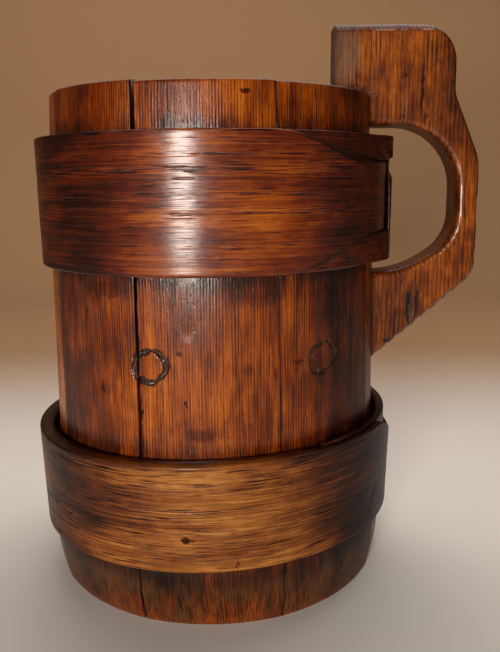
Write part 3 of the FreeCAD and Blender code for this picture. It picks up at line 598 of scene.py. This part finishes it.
def handle_blank():
    """The handle's stave, finely divided, with its top edges bevelled and its arm rough cut."""
    mesh = solid_copy("handle_stave")
    cut_evenly(mesh, ((0.55, 33.2, 100.4), (0.75, -31.0, 31.4), (2.0, 1.0, 241.0)))
    points = read_points(mesh)
    reach = points[:, 0] - AXIS_X
    depth, height = points[:, 1], points[:, 2]
    bevel_slope, bevel_start, bevel_end = 1.15, 7.3, 99
    bevel = HANDLE_TOP - bevel_slope * np.clip(np.abs(depth) - bevel_start, 0, None)
    points[:, 2] = np.where(reach < bevel_end, np.minimum(height, bevel), height)
    radius = np.hypot(reach, depth)
    above_wall = (radius > 74.5) | (height > MUG_HEIGHT + 0.2)
    plank = (np.abs(depth) < PLANK_HALF_DEPTH) & above_wall
    # side is 1 on the plank's side faces, inside the grip's hole and on its top; the material
    # darkens these as painted shade
    side = np.where(plank, smooth_step(-np.abs(depth), 0.3 - PLANK_HALF_DEPTH, 0.9), 0.0)
    side = np.maximum(side, smooth_step(height, HANDLE_TOP - 2.4, 1.4))

    # The arm's lower edge as a rough saw leaves it, and nicks up the back of the grip
    arm = ARM_START[1] + (reach - ARM_START[0]) * math.tan(math.radians(ARM_SLOPE))
    below = np.clip(1 - np.abs(height - arm) / 3.0, 0, 1) * (reach > 73.5) * (reach < 117)
    rough = (np.sin(reach * 1.35 + 0.6) + 0.6 * np.sin(reach * 3.1 + depth * 0.25)
             + 0.5 * np.sin(reach * 0.61))
    rough_depth, nick_depth = 0.3, 0.3
    points[:, 2] += below * rough_depth * rough * plank
    back = np.clip((reach - HANDLE_BACK) / 1.4, 0, 1)
    back = back * (height > NICKED_HEIGHTS[0]) * (height < NICKED_HEIGHTS[1])
    nicked = np.sin(height * 2.9 + 0.4 * np.sin(height * 0.8)) > 0.2
    points[:, 0] -= back * nick_depth * nicked
    mesh.vertices.foreach_set("co", (points * MM).astype(np.float32).ravel())

    round_part = unroll(np.degrees(np.arctan2(reach, -depth)), radius, points[:, 2])
    flat_part = np.stack([reach, depth, points[:, 2]], axis=-1)
    store(mesh, "unrolled", np.where(plank[:, None], flat_part, round_part), "FLOAT_VECTOR")
    store(mesh, "side", side)
    normals = np.empty(len(points) * 3, np.float32)
    mesh.vertex_normals.foreach_get("vector", normals)
    turned = 1 - np.abs(normals.reshape(-1, 3)[:, 1])
    rounded = smooth_step(turned, 0.004, 0.03) * (1 - smooth_step(turned, 0.3, 0.4))
    store(mesh, "arris", rounded * plank)
    store(mesh, "plank", np.where(plank, 0.0, 0.61))
    store(mesh, "ridged", np.where(plank, 1.0, 0.35))
    mesh.update()
    return mesh


def board_blank():
    """The bottom board, finely divided."""
    mesh = solid_copy("bottom_board")
    cut_evenly(mesh, ((0.8, -84.0, 48.0), (4.0, -66.0, 66.0), (5.0, 17.0, 23.0)))
    points = read_points(mesh)
    store(mesh, "unrolled", points[:, [0, 2, 1]], "FLOAT_VECTOR")
    store(mesh, "ridged", np.ones(len(points)))
    return mesh


# Surfaces, as trees of nodes that both the shapes and the materials use

def calc(tree, operation, *values):
    return add(tree, "ShaderNodeMath", dict(enumerate(values)), operation=operation)


def stretched_noise(tree, place, stretch, seed, detail=3.0, roughness=0.5):
    """Noise with a scale of its own in each direction, as features in a millimetre."""
    scaled = add(tree, "ShaderNodeVectorMath", {0: place, 1: stretch}, operation="MULTIPLY")
    return add(tree, "ShaderNodeTexNoise", {
        "Vector": scaled, "W": seed, "Scale": 1.0, "Detail": detail, "Roughness": roughness},
        noise_dimensions="4D")


def ramp_up(tree, value, low, high, start=0.0, end=1.0):
    """A smooth rise from start to end while the value goes from low to high."""
    return add(tree, "ShaderNodeMapRange",
               {"Value": value, "From Min": low, "From Max": high, "To Min": start, "To Max": end},
               interpolation_type="SMOOTHSTEP")


def weigh(tree, base, parts):
    """The base plus every value times its weight."""
    total = base
    for value, weight in parts:
        total = calc(tree, "MULTIPLY_ADD", value, weight, total)
    return total


def tone_of(tree, middle, parts):
    """The wood's tone: the middle one where all noise that adds to it is at its mean, a half."""
    return weigh(tree, middle - 0.5 * sum(weight for _, weight in parts if weight > 0), parts)


def board_place(tree, place, plank):
    """Each stave's own place in its board: shifted by plank, and slanting a little through it."""
    parts = add(tree, "ShaderNodeSeparateXYZ", {0: place}).node.outputs
    across = weigh(tree, parts[0], [(plank, BOARD_SHIFT), (parts[1], GRAIN_SLANT)])
    return across, add(tree, "ShaderNodeCombineXYZ", {0: across, 1: parts[1], 2: parts[2]}), parts


def growth_rings(tree, board, across, spacing):
    """0 in the soft spring wood to 1 in the hard line that ends each year's ring."""
    drift = stretched_noise(tree, board, (0.035, 0.03, 0.006), 3.0)
    years = weigh(tree, calc(tree, "DIVIDE", across, spacing), [(drift, RING_WANDER)])
    year = calc(tree, "FLOOR", years)
    weight = add(tree, "ShaderNodeTexWhiteNoise", {"W": year}, noise_dimensions="1D")
    weight = add(tree, "ShaderNodeMapRange", {"Value": weight, "To Min": 0.35, "To Max": 1.0})
    part = calc(tree, "FRACT", years)
    ring = calc(tree, "MULTIPLY", ramp_up(tree, part, 0.25, 0.85),
                ramp_up(tree, part, 0.88, 1.0, 1.0, 0.0))
    breaks = stretched_noise(tree, board, (0.6, 0.4, 0.14), 15.0)
    weight = calc(tree, "MULTIPLY", weight, ramp_up(tree, breaks, 0.35, 0.6, 0.4, 1.0))
    return calc(tree, "MULTIPLY", ring, weight)


def pore_lines(tree, place):
    """1 in the open pores, short level lines, and the noise that crowds them into bands."""
    band = stretched_noise(tree, place, (0.004, 0.25, 0.33), 5.0, 4.0, 0.6)
    pore = stretched_noise(tree, place, (0.06, 0.5, 1.6), 8.0, 2.0)
    return ramp_up(tree, weigh(tree, pore, [(band, 0.55)]), 0.9, 0.98), band


def worn_surface(name):
    """A tree that wears a blank: broad ripples, shallow dents, raised rings and open pores."""
    tree = bpy.data.node_groups.new(name, "GeometryNodeTree")
    for socket, kind, default in (
            ("Geometry", "Geometry", None), ("Ripple Height", "Float", 0.25),
            ("Dent Depth", "Float", 0.35), ("Ridge Height", "Float", 0.0),
            ("Ring Spacing", "Float", 1.6), ("Pore Depth", "Float", 0.0), ("Seed", "Int", 7),
            ("Stretch", "Vector", None), ("Material", "Material", None)):
        made = tree.interface.new_socket(socket, in_out="INPUT", socket_type="NodeSocket" + kind)
        if default is not None:
            made.default_value = default
    tree.interface.new_socket("Geometry", in_out="OUTPUT", socket_type="NodeSocketGeometry")
    given = tree.nodes.new("NodeGroupInput").outputs
    place, plank, ridged = (
        add(tree, "GeometryNodeInputNamedAttribute", {"Name": stored}, data_type=kind)
        for stored, kind in (
            ("unrolled", "FLOAT_VECTOR"), ("plank", "FLOAT"), ("ridged", "FLOAT")))
    across, board, _ = board_place(tree, place, plank)
    ripple = stretched_noise(tree, place, given["Stretch"], given["Seed"])
    dent = stretched_noise(tree, place, (0.07, 0.07, 0.07), given["Seed"], 2.0)
    dent = ramp_up(tree, dent, 0.6, 0.85)
    ring = growth_rings(tree, board, across, given["Ring Spacing"])
    ridge = calc(tree, "MULTIPLY", ridged, given["Ridge Height"])
    pore, _ = pore_lines(tree, place)
    ripple = calc(tree, "MULTIPLY", calc(tree, "SUBTRACT", ripple, 0.5), given["Ripple Height"])
    raised = weigh(tree, ripple, [(ring, ridge)])
    sunk = calc(tree, "MULTIPLY", dent, given["Dent Depth"])
    sunk = weigh(tree, sunk, [(pore, given["Pore Depth"]), (ridge, 0.3)])
    offset = calc(tree, "MULTIPLY", calc(tree, "SUBTRACT", raised, sunk), MM)
    normal = add(tree, "GeometryNodeInputNormal")
    offset = add(tree, "ShaderNodeVectorMath", {0: normal, "Scale": offset}, operation="SCALE")
    moved = add(tree, "GeometryNodeSetPosition", {"Geometry": given["Geometry"], "Offset": offset})
    moved = add(tree, "GeometryNodeSetShadeSmooth", {"Geometry": moved})
    moved = add(tree, "GeometryNodeRealizeInstances", {"Geometry": moved})
    moved = add(tree, "GeometryNodeSetMaterial", {"Geometry": moved, "Material": given["Material"]})
    tree.links.new(moved, tree.nodes.new("NodeGroupOutput").inputs[0])
    return tree


def wear(mesh, name, material, **sizes):
    """Run a blank through the wearing tree and keep the result as the plain mesh of a new piece."""
    tree = bpy.data.node_groups.get("Worn Wood") or worn_surface("Worn Wood")
    blank = link("blank_" + name, mesh)
    modifier = blank.modifiers.new("Wear", "NODES")
    modifier.node_group = tree
    sockets = {item.name: item.identifier for item in tree.interface.items_tree
               if item.in_out == "INPUT"}
    modifier[sockets["Material"]] = material
    for key, value in sizes.items():
        modifier[sockets[key.replace("_", " ").title()]] = value
    result = mesh_of(blank)
    result.name = name
    bpy.data.objects.remove(blank)
    return link(name, result)


def finish_piece(piece, node):
    """Put a made piece in the place of its solid."""
    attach(piece, "root")
    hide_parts(node)


# Materials

def start_material(name):
    material = bpy.data.materials.new(name)
    material.use_nodes = True
    material.node_tree.nodes.clear()
    return material, material.node_tree


def finish_material(tree, shader):
    output = tree.nodes.new("ShaderNodeOutputMaterial")
    tree.links.new(shader, output.inputs["Surface"])


def kept(tree, name, output=2):
    """What the mesh's points keep under a name: output 1 is a vector and output 2 a number."""
    return add(tree, "ShaderNodeAttribute", output=output, attribute_name=name)


def varnish(tree, colour, rough, relief, strength, depth, gloss, blur):
    """Wood with a bumpy grain under a coat of varnish, which follows the same bumps."""
    bump = add(tree, "ShaderNodeBump", {"Strength": strength, "Distance": depth, "Height": relief})
    finish_material(tree, add(tree, "ShaderNodeBsdfPrincipled", {
        "Base Color": colour, "Roughness": rough, "IOR": WOOD_IOR,
        "Specular IOR Level": BARE_SPECULAR, "Normal": bump, "Coat Weight": gloss,
        "Coat Roughness": blur, "Coat Normal": bump}))


def blend_colour(tree, factor, first, second):
    return add(tree, "ShaderNodeMix", {0: factor, 6: first, 7: second}, output=2, data_type="RGBA")


def ramp(tree, value, places, colours):
    """A colour or level for each value, from stops along it."""
    result = add(tree, "ShaderNodeValToRGB", {0: value})
    elements = result.node.color_ramp.elements
    for number, (place, colour) in enumerate(zip(places, colours)):
        stop = elements[number] if number < 2 else elements.new(place)
        stop.position, stop.color = place, colour
    return result


def wood_colours(tree, tone, *colours):
    """A colour for each tone, from black in the grain to the palest wood."""
    places = (0.0, 0.22, 0.42, 0.58, 0.74, 1.0) if len(colours) == 6 else (0.0, 0.4, 0.7, 1.0)
    return ramp(tree, tone, places, [linear(colour) for colour in colours])


def height_bands(tree, height, stops):
    """A level for each height, from stops in millimetres, with smooth rises between them."""
    result = ramp(tree, calc(tree, "DIVIDE", height, MUG_HEIGHT),
                  [place / MUG_HEIGHT for place, _ in stops],
                  [(level, level, level, 1.0) for _, level in stops])
    result.node.color_ramp.interpolation = "EASE"
    return result


def spots(tree, place, marks):
    """Each mark's strength in its middle, falling to 0 past its ragged edge."""
    ragged = add(tree, "ShaderNodeTexNoise", {"Vector": place, "Scale": 0.45, "Detail": 3.0},
                 output=1)
    ragged = add(tree, "ShaderNodeVectorMath", {0: ragged, 1: (0.5, 0.5, 0.5)},
                 operation="SUBTRACT")
    ragged = add(tree, "ShaderNodeVectorMath", {0: ragged, "Scale": 3.5}, operation="SCALE")
    place = add(tree, "ShaderNodeVectorMath", {0: place, 1: ragged}, operation="ADD")
    total = 0.0
    for across, along, half_width, half_length, strength in marks:
        scaled = add(tree, "ShaderNodeVectorMath",
                     {0: place, 1: (1 / half_width, 0.0, 1 / half_length),
                      2: (-across / half_width, 0.0, -along / half_length)},
                     operation="MULTIPLY_ADD")
        reach = add(tree, "ShaderNodeVectorMath", {0: scaled}, output=1, operation="LENGTH")
        total = calc(tree, "MAXIMUM", total, ramp_up(tree, reach, 1.3, 0.45, 0.0, strength))
    return total


def varnished_pine(settings):
    """Pine, planed with the grain upright, then stained and varnished.

    The eye sees a fine dark line at the end of each year's ring, an orange ground that deepens to
    red brown where the stain is thick, black grime next to the hoops, and a gloss that the grain
    breaks up."""
    material, tree = start_material("Pine, planed, stained and varnished")
    place, char, edge = kept(tree, "unrolled", 1), kept(tree, "char"), kept(tree, "edge")
    across, board, parts = board_place(tree, place, kept(tree, "plank"))
    ring = growth_rings(tree, board, across, settings.pine_ring_spacing / MM)
    fibre = stretched_noise(tree, board, (2.4, 1.0, 0.06), 1.0)
    speckle = ramp_up(tree, stretched_noise(tree, board, (1.5, 1.0, 0.5), 2.0, 2.0), 0.58, 0.72)
    streak = stretched_noise(tree, board, (0.2, 0.2, 0.014), 4.0, 4.0)
    cloud = stretched_noise(tree, board, (0.04, 0.04, 0.028), 6.0, 4.0, 0.6)
    mottle = stretched_noise(tree, board, (0.15, 0.15, 0.07), 7.0, 5.0, 0.6)
    ragged = stretched_noise(tree, board, (1.1, 0.6, 0.12), 13.0)
    dirty = height_bands(tree, parts[2], (
        (0.0, 0.26), (8.0, 0.4), (20.0, 0.6), (62.0, 0.5), (72.0, 0.32), (80.0, 0.1), (108.0, 0.06),
        (126.0, 0.14), (135.0, 0.26), (141.5, 0.46), (194.0, 0.4), (196.0, 0.3), (202.0, 0.16),
        (211.0, 0.2)))
    grime = ramp_up(tree, weigh(tree, mottle, [(dirty, 1.0), (ragged, 0.5)]), 0.85, 1.5)
    joint = ramp_up(tree, edge, 0.7, 0.1)
    # Dark marks, the broad ones over the staves' left and right sides partly painted shade
    marks = spots(tree, place, STAVE_MARKS_AND_SIDE_SHADE)
    tone = tone_of(tree, 0.56, [
        (fibre, 0.65), (streak, 0.45), (cloud, 0.85), (mottle, 0.35), (ring, -0.26),
        (speckle, -0.12), (grime, -0.36), (joint, -0.25), (marks, -0.6)])
    colour = wood_colours(tree, tone, "#0d0502", "#2d0e04", "#602404", "#8d4206", "#b06012",
                          "#cc8535")
    worn = ramp_up(tree, weigh(tree, mottle, [(fibre, 0.7)]), 0.7, 1.05, 0.05, 0.55)
    at_foot = ramp_up(tree, parts[2], 26.0, 14.0, 0.0, worn)
    colour = blend_colour(tree, at_foot, colour, linear("#694421"))
    burnt = ramp_up(tree, weigh(tree, char, [(ragged, 1.1), (mottle, 0.6)]), 1.06, 1.55)
    soot = blend_colour(tree, ramp_up(tree, ragged, 0.42, 0.62), linear("#1e120c"),
                        linear("#4a3326"))
    colour = blend_colour(tree, burnt, colour, soot)
    inside = ramp_up(tree, parts[1], -6.0, -9.0)
    bare = tone_of(tree, 0.45, [(fibre, 0.4), (streak, 0.6), (cloud, 0.6), (ring, -0.16)])
    bare = wood_colours(tree, bare, "#120a06", "#452615", "#6f4629", "#96704a")
    colour = blend_colour(tree, inside, colour, bare)
    relief = weigh(tree, 0.0, [(ring, 0.5), (fibre, 0.8), (speckle, -0.35), (mottle, 0.8)])
    rough = weigh(tree, 0.3, [(mottle, 0.3), (burnt, 0.2), (inside, 0.2)])
    # The varnish is fullest under the upper hoop, worn at the rim and gone from inside and from the
    # marks, whose broad ones on the sides are partly painted shade
    full = height_bands(tree, parts[2], (
        (0.0, 0.3), (60.0, 0.4), (110.0, 0.4), (128.0, 0.52), (141.0, 0.65), (194.0, 0.4),
        (197.0, 0.28), (212.0, 0.28)))
    gone = calc(tree, "MAXIMUM", inside, marks)
    gloss = calc(tree, "MULTIPLY", full, ramp_up(tree, gone, 0.0, 0.7, 1.0, 0.0))
    varnish(tree, colour, rough, relief, 0.55, 0.00018, gloss, 0.15)
    return material


def sawn_pine(settings):
    """Pine, sawn and shaved to the handle's shape, weathered into ridges, then varnished."""
    material, tree = start_material("Pine, sawn, weathered and varnished")
    place, side, arris = kept(tree, "unrolled", 1), kept(tree, "side"), kept(tree, "arris")
    across, board, parts = board_place(tree, place, kept(tree, "plank"))
    ring = growth_rings(tree, board, across, settings.handle_ring_spacing / MM)
    fibre = stretched_noise(tree, board, (2.2, 1.0, 0.08), 1.0)
    streak = stretched_noise(tree, board, (0.28, 0.2, 0.014), 4.0, 4.0)
    cloud = stretched_noise(tree, board, (0.05, 0.05, 0.03), 6.0, 4.0, 0.6)
    mottle = stretched_noise(tree, board, (0.22, 0.22, 0.14), 7.0, 6.0, 0.68)
    marks = spots(tree, place, HANDLE_MARKS)
    worn = calc(tree, "MULTIPLY", spots(tree, place, GREY_PATCHES),
                weigh(tree, 0.0, [(mottle, 0.7), (fibre, 0.5)]))
    tone = tone_of(tree, 0.44, [
        (fibre, 0.75), (streak, 0.4), (cloud, 0.85), (mottle, 0.5), (ring, -0.22), (marks, -0.6)])
    # Painted shade: the side faces, the inside of the grip's hole and the top take 0.7 of the
    # front's tone
    tone = calc(tree, "MULTIPLY", tone, ramp_up(tree, side, 0.0, 1.0, 1.0, 0.7))
    colour = wood_colours(tree, tone, "#0d0502", "#331104", "#672d06", "#914a08", "#b46413",
                          "#cc8838")
    colour = blend_colour(tree, ramp_up(tree, worn, 0.25, 0.85), colour, linear("#6b5846"))
    inside = ramp_up(tree, parts[1], -12.0, -14.0)
    colour = blend_colour(tree, inside, colour, linear("#452615"))
    relief = weigh(tree, 0.0, [(ring, 0.6), (fibre, 0.8), (mottle, 0.8)])
    rough = weigh(tree, 0.3, [(mottle, 0.3), (worn, 0.25), (arris, -0.1)])
    gloss = weigh(tree, ramp_up(tree, side, 0.3, 0.9, 0.24, 0.04), [(arris, 0.5)])
    varnish(tree, colour, rough, relief, 0.5, 0.00018, gloss, 0.17)
    return material


def varnished_ash():
    """Ash, riven along the grain, shaved, steam-bent round the staves, then stained and varnished.

    The eye sees bands of short dark pores, lighter wood between them, and a strong gloss that the
    open pores cut into level bars."""
    material, tree = start_material("Ash, riven, steam-bent and varnished")
    place, seam = kept(tree, "unrolled", 1), kept(tree, "seam")
    pore, band = pore_lines(tree, place)
    fine = stretched_noise(tree, place, (0.045, 0.6, 2.4), 9.0, 2.0)
    dash = stretched_noise(tree, place, (0.07, 0.8, 2.6), 10.0, 1.5)
    dash = ramp_up(tree, weigh(tree, dash, [(band, 0.6)]), 0.88, 0.96)
    vein = stretched_noise(tree, place, (0.003, 0.2, 0.9), 14.0, 3.0, 0.6)
    cloud = stretched_noise(tree, place, (0.022, 0.05, 0.06), 11.0, 5.0, 0.62)
    mottle = stretched_noise(tree, place, (0.12, 0.2, 0.2), 12.0, 5.0, 0.65)
    parts = add(tree, "ShaderNodeSeparateXYZ", {0: place}).node.outputs
    half_turn = math.pi * ROLL_RADIUS
    turned = calc(tree, "WRAP", parts[0], half_turn, -half_turn)
    flat = add(tree, "ShaderNodeCombineXYZ", {0: turned, 1: parts[1], 2: parts[2]})
    # Dark marks, the broad ones over the hoops' left and right sides partly painted shade
    marks = spots(tree, flat, HOOP_MARKS_AND_SIDE_SHADE)
    upper = ramp_up(tree, parts[2], 95.0, 125.0)
    tone = tone_of(tree, 0.52, [
        (band, 0.5), (vein, 0.4), (fine, 0.35), (cloud, 0.7), (mottle, 0.3), (pore, -0.18),
        (dash, -0.28), (marks, -0.5), (seam, -0.3), (upper, -0.02)])
    red = wood_colours(tree, tone, "#0b0302", "#290a03", "#5b1e05", "#8a4009", "#ad621a",
                       "#c98d4c")
    # The lower hoop is yellower, with more contrast in its grain
    yellow = wood_colours(tree, weigh(tree, -0.11, [(tone, 1.25)]),
                          "#0d0502", "#2e1306", "#5e2d0e", "#8a501e", "#ac7233", "#cc9857")
    colour = blend_colour(tree, upper, yellow, red)
    relief = weigh(tree, 0.0, [(pore, -1.0), (dash, -0.5), (fine, 0.6), (mottle, 0.5)])
    rough = weigh(tree, 0.3, [(mottle, 0.3)])
    full = add(tree, "ShaderNodeMapRange", {"Value": upper, "To Min": 0.3, "To Max": 0.72})
    gone = calc(tree, "MAXIMUM", seam, marks)
    gloss = calc(tree, "MULTIPLY", full, ramp_up(tree, gone, 0.0, 0.7, 1.0, 0.1))
    varnish(tree, colour, rough, relief, 0.5, 0.0002, gloss, 0.2)
    return material


def bare_pine():
    """Pine, planed and left bare, darkened by ale and age."""
    material, tree = start_material("Pine, planed, bare and soaked")
    across, board, _ = board_place(tree, kept(tree, "unrolled", 1), 0.0)
    ring = growth_rings(tree, board, across, BOARD_RING_SPACING)
    fibre = stretched_noise(tree, board, (2.0, 1.0, 0.06), 1.0)
    cloud = stretched_noise(tree, board, (0.04, 0.04, 0.03), 6.0, 5.0, 0.6)
    tone = tone_of(tree, 0.42, [(fibre, 0.5), (cloud, 1.4), (ring, -0.2)])
    colour = wood_colours(tree, tone, "#0e0704", "#3c2112", "#643f25", "#8c6742")
    bump = add(tree, "ShaderNodeBump", {"Strength": 0.5, "Distance": 0.0002, "Height": ring})
    shader = add(tree, "ShaderNodeBsdfPrincipled", {
        "Base Color": colour, "Roughness": 0.62, "IOR": WOOD_IOR, "Normal": bump})
    finish_material(tree, shader)
    return material


class MugSettings(bpy.types.PropertyGroup):
    """The sizes and colours that a user would change."""
    pine_ring_spacing: bpy.props.FloatProperty(
        name="Pine Ring Spacing", description="Width of one year's ring in the staves",
        default=1.2 * MM, unit="LENGTH")
    handle_ring_spacing: bpy.props.FloatProperty(
        name="Handle Ring Spacing", description="Width of one year's ring in the handle",
        default=1.9 * MM, unit="LENGTH")
    stave_ridge: bpy.props.FloatProperty(
        name="Stave Ridge", description="Height in millimetres of the staves' raised rings",
        default=0.05)
    handle_ridge: bpy.props.FloatProperty(
        name="Handle Ridge", description="Height in millimetres of the handle's raised rings",
        default=0.05)
    pore_depth: bpy.props.FloatProperty(
        name="Pore Depth", description="Depth in millimetres of the hoops' pores", default=0.16)
    key_power: bpy.props.FloatProperty(
        name="Key Power", description="Power in watts of the lamp beside the camera", default=23.0)
    floor_colour: bpy.props.FloatVectorProperty(
        name="Floor Colour", description="Colour of the floor under the mug", subtype="COLOR",
        size=4, min=0.0, max=1.0, default=linear("#f3f2f0"))
    backdrop_colour: bpy.props.FloatVectorProperty(
        name="Backdrop Colour", description="Colour of the backdrop behind the mug",
        subtype="COLOR", size=4, min=0.0, max=1.0, default=linear("#ab8663"))


class MUG_OT_staves(bpy.types.Operator):
    """Make the plain staves"""
    bl_idname = "mug.staves"
    bl_label = "Staves"

    def execute(self, context):
        settings = context.scene.mug_settings
        material = varnished_pine(settings)
        for number, (name, start, width, drop) in enumerate(STAVES):
            mesh = stave_blank(name, start, width, drop, (number * 0.377 + 0.1) % 1)
            piece = wear(mesh, "worn_" + name, material, ridge_height=settings.stave_ridge,
                         ring_spacing=settings.pine_ring_spacing / MM, stretch=(0.11, 0.1, 0.02),
                         seed=11 + number)
            finish_piece(piece, name)
        return {"FINISHED"}


class MUG_OT_handle(bpy.types.Operator):
    """Make the stave that carries the handle, and the bottom board"""
    bl_idname = "mug.handle"
    bl_label = "Handle and Board"

    def execute(self, context):
        settings = context.scene.mug_settings
        piece = wear(handle_blank(), "worn_handle_stave", sawn_pine(settings),
                     ridge_height=settings.handle_ridge, stretch=(0.11, 0.1, 0.03), seed=31,
                     ring_spacing=settings.handle_ring_spacing / MM)
        finish_piece(piece, "handle_stave")
        piece = wear(board_blank(), "worn_bottom_board", bare_pine(), ridge_height=0.12,
                     ring_spacing=BOARD_RING_SPACING, stretch=(0.05, 0.05, 0.02), seed=41)
        finish_piece(piece, "bottom_board")
        return {"FINISHED"}


class MUG_OT_hoops(bpy.types.Operator):
    """Make the two lapped hoops"""
    bl_idname = "mug.hoops"
    bl_label = "Hoops"

    def execute(self, context):
        pore_depth = context.scene.mug_settings.pore_depth
        material = varnished_ash()
        for number, side in enumerate(HOOPS):
            piece = wear(hoop_blank(side), f"worn_{side}_hoop", material, dent_depth=0.25,
                         pore_depth=pore_depth, stretch=(0.02, 0.1, 0.12), seed=51 + number)
            finish_piece(piece, side + "_hoop")
        return {"FINISHED"}


class MUG_OT_stage(bpy.types.Operator):
    """Set up the floor, the lights and the camera"""
    bl_idname = "mug.stage"
    bl_label = "Stage"

    def execute(self, context):
        self.lay_floor(context.scene.mug_settings)
        self.hang_lights(context.scene)
        self.place_camera(context.scene)
        context.scene.view_settings.view_transform = "Standard"
        return {"FINISHED"}

    def lay_floor(self, settings):
        floor = bpy.data.meshes.new("floor")
        half_width, front, back, sweep, top = 2.4, -1.4, 0.75, 0.3, 2.2
        profile = [(front, 0.0)]
        for turn in np.radians(np.linspace(0, 90, 13)):
            profile.append((back + sweep * math.sin(turn), sweep - sweep * math.cos(turn)))
        profile.append((back + sweep, top))
        points = [(side * half_width, *place) for place in profile for side in (-1, 1)]
        faces = [(step, step + 1, step + 3, step + 2) for step in range(0, len(points) - 2, 2)]
        floor.from_pydata(points, [], faces)
        for face in floor.polygons:
            face.use_smooth = True
        material, tree = start_material("Paper, matt, pale")
        place = add(tree, "ShaderNodeTexCoord", output=3)
        far = add(tree, "ShaderNodeSeparateXYZ", {0: place}, output=1)
        colour = blend_colour(tree, ramp_up(tree, far, 0.05, 0.45), list(settings.floor_colour),
                              list(settings.backdrop_colour))
        shader = add(tree, "ShaderNodeBsdfPrincipled", {"Base Color": colour, "Roughness": 0.9})
        finish_material(tree, shader)
        floor.materials.append(material)
        link("floor", floor)

    def hang_lights(self, scene):
        # Each lamp: its azimuth, reach and height, the height it faces, its size and its power
        lights = (
            ("key", (-14.5, 1.5, 0.2), 0.13, (0.32, 0.56), scene.mug_settings.key_power),
            ("softbox", (170.0, 0.45, 1.0), 0.12, (1.2, 0.8), 8.0),
        )
        for name, (azimuth, reach, height), aim, (width, length), power in lights:
            lamp = bpy.data.lights.new(name, "AREA")
            lamp.shape, lamp.size, lamp.size_y, lamp.energy = "RECTANGLE", width, length, power
            lamp.color = linear("#fff5ea")[:3]
            light = link(name, lamp)
            light.visible_camera = False
            turn, middle = math.radians(azimuth), AXIS_X * MM
            light.location = (middle + reach * math.sin(turn), -reach * math.cos(turn), height)
            facing = Vector((middle, 0, aim)) - light.location
            light.rotation_euler = facing.to_track_quat("-Z", "Y").to_euler()
        scene.world = bpy.data.worlds.new("Room")
        scene.world.use_nodes = True
        tree = scene.world.node_tree
        # The room adds a little light, and the camera sees it brighter
        room_level, seen_level = 0.06, 0.5
        seen = add(tree, "ShaderNodeLightPath")
        background = tree.nodes["Background"].inputs
        background[0].default_value = linear("#fff4e8")
        tree.links.new(weigh(tree, room_level, [(seen, seen_level)]), background[1])

    def place_camera(self, scene):
        lens = bpy.data.cameras.new("camera")
        lens.lens, lens.sensor_width, lens.clip_start = CAMERA_LENS, 36.0, 0.01
        camera = link("camera", lens)
        yaw, pitch, roll = (math.radians(angle) for angle in CAMERA_TURN)
        forward = Vector((math.sin(yaw) * math.cos(pitch), math.cos(yaw) * math.cos(pitch),
                          math.sin(pitch)))
        right = forward.cross(Vector((0, 0, 1))).normalized()
        up = right.cross(forward)
        right, up = (right * math.cos(roll) + up * math.sin(roll),
                     up * math.cos(roll) - right * math.sin(roll))
        x, y, z = CAMERA_PLACE
        place = ((x + AXIS_X) * MM, y * MM, z * MM)
        camera.matrix_world = Matrix(
            [(right[row], up[row], -forward[row], place[row]) for row in range(3)]
            + [(0, 0, 0, 1)])
        scene.camera = camera


class MUG_PT_panel(bpy.types.Panel):
    """Lists the mug's pieces"""
    bl_label = "Ale Mug"
    bl_idname = "MUG_PT_panel"
    bl_space_type = "VIEW_3D"
    bl_region_type = "UI"
    bl_category = "Ale Mug"

    def draw(self, context):
        for maker in MAKERS:
            self.layout.operator(maker.bl_idname)


MAKERS = (MUG_OT_stage, MUG_OT_staves, MUG_OT_handle, MUG_OT_hoops)
CLASSES = (MugSettings, *MAKERS, MUG_PT_panel)


def register():
    for item in CLASSES:
        bpy.utils.register_class(item)
    bpy.types.Scene.mug_settings = bpy.props.PointerProperty(type=MugSettings)


def unregister():
    del bpy.types.Scene.mug_settings
    for item in reversed(CLASSES):
        bpy.utils.unregister_class(item)


def main():
    register()
    bpy.ops.mug.stage()
    bpy.ops.mug.staves()
    bpy.ops.mug.handle()
    bpy.ops.mug.hoops()


if __name__ == "__main__":
    main()
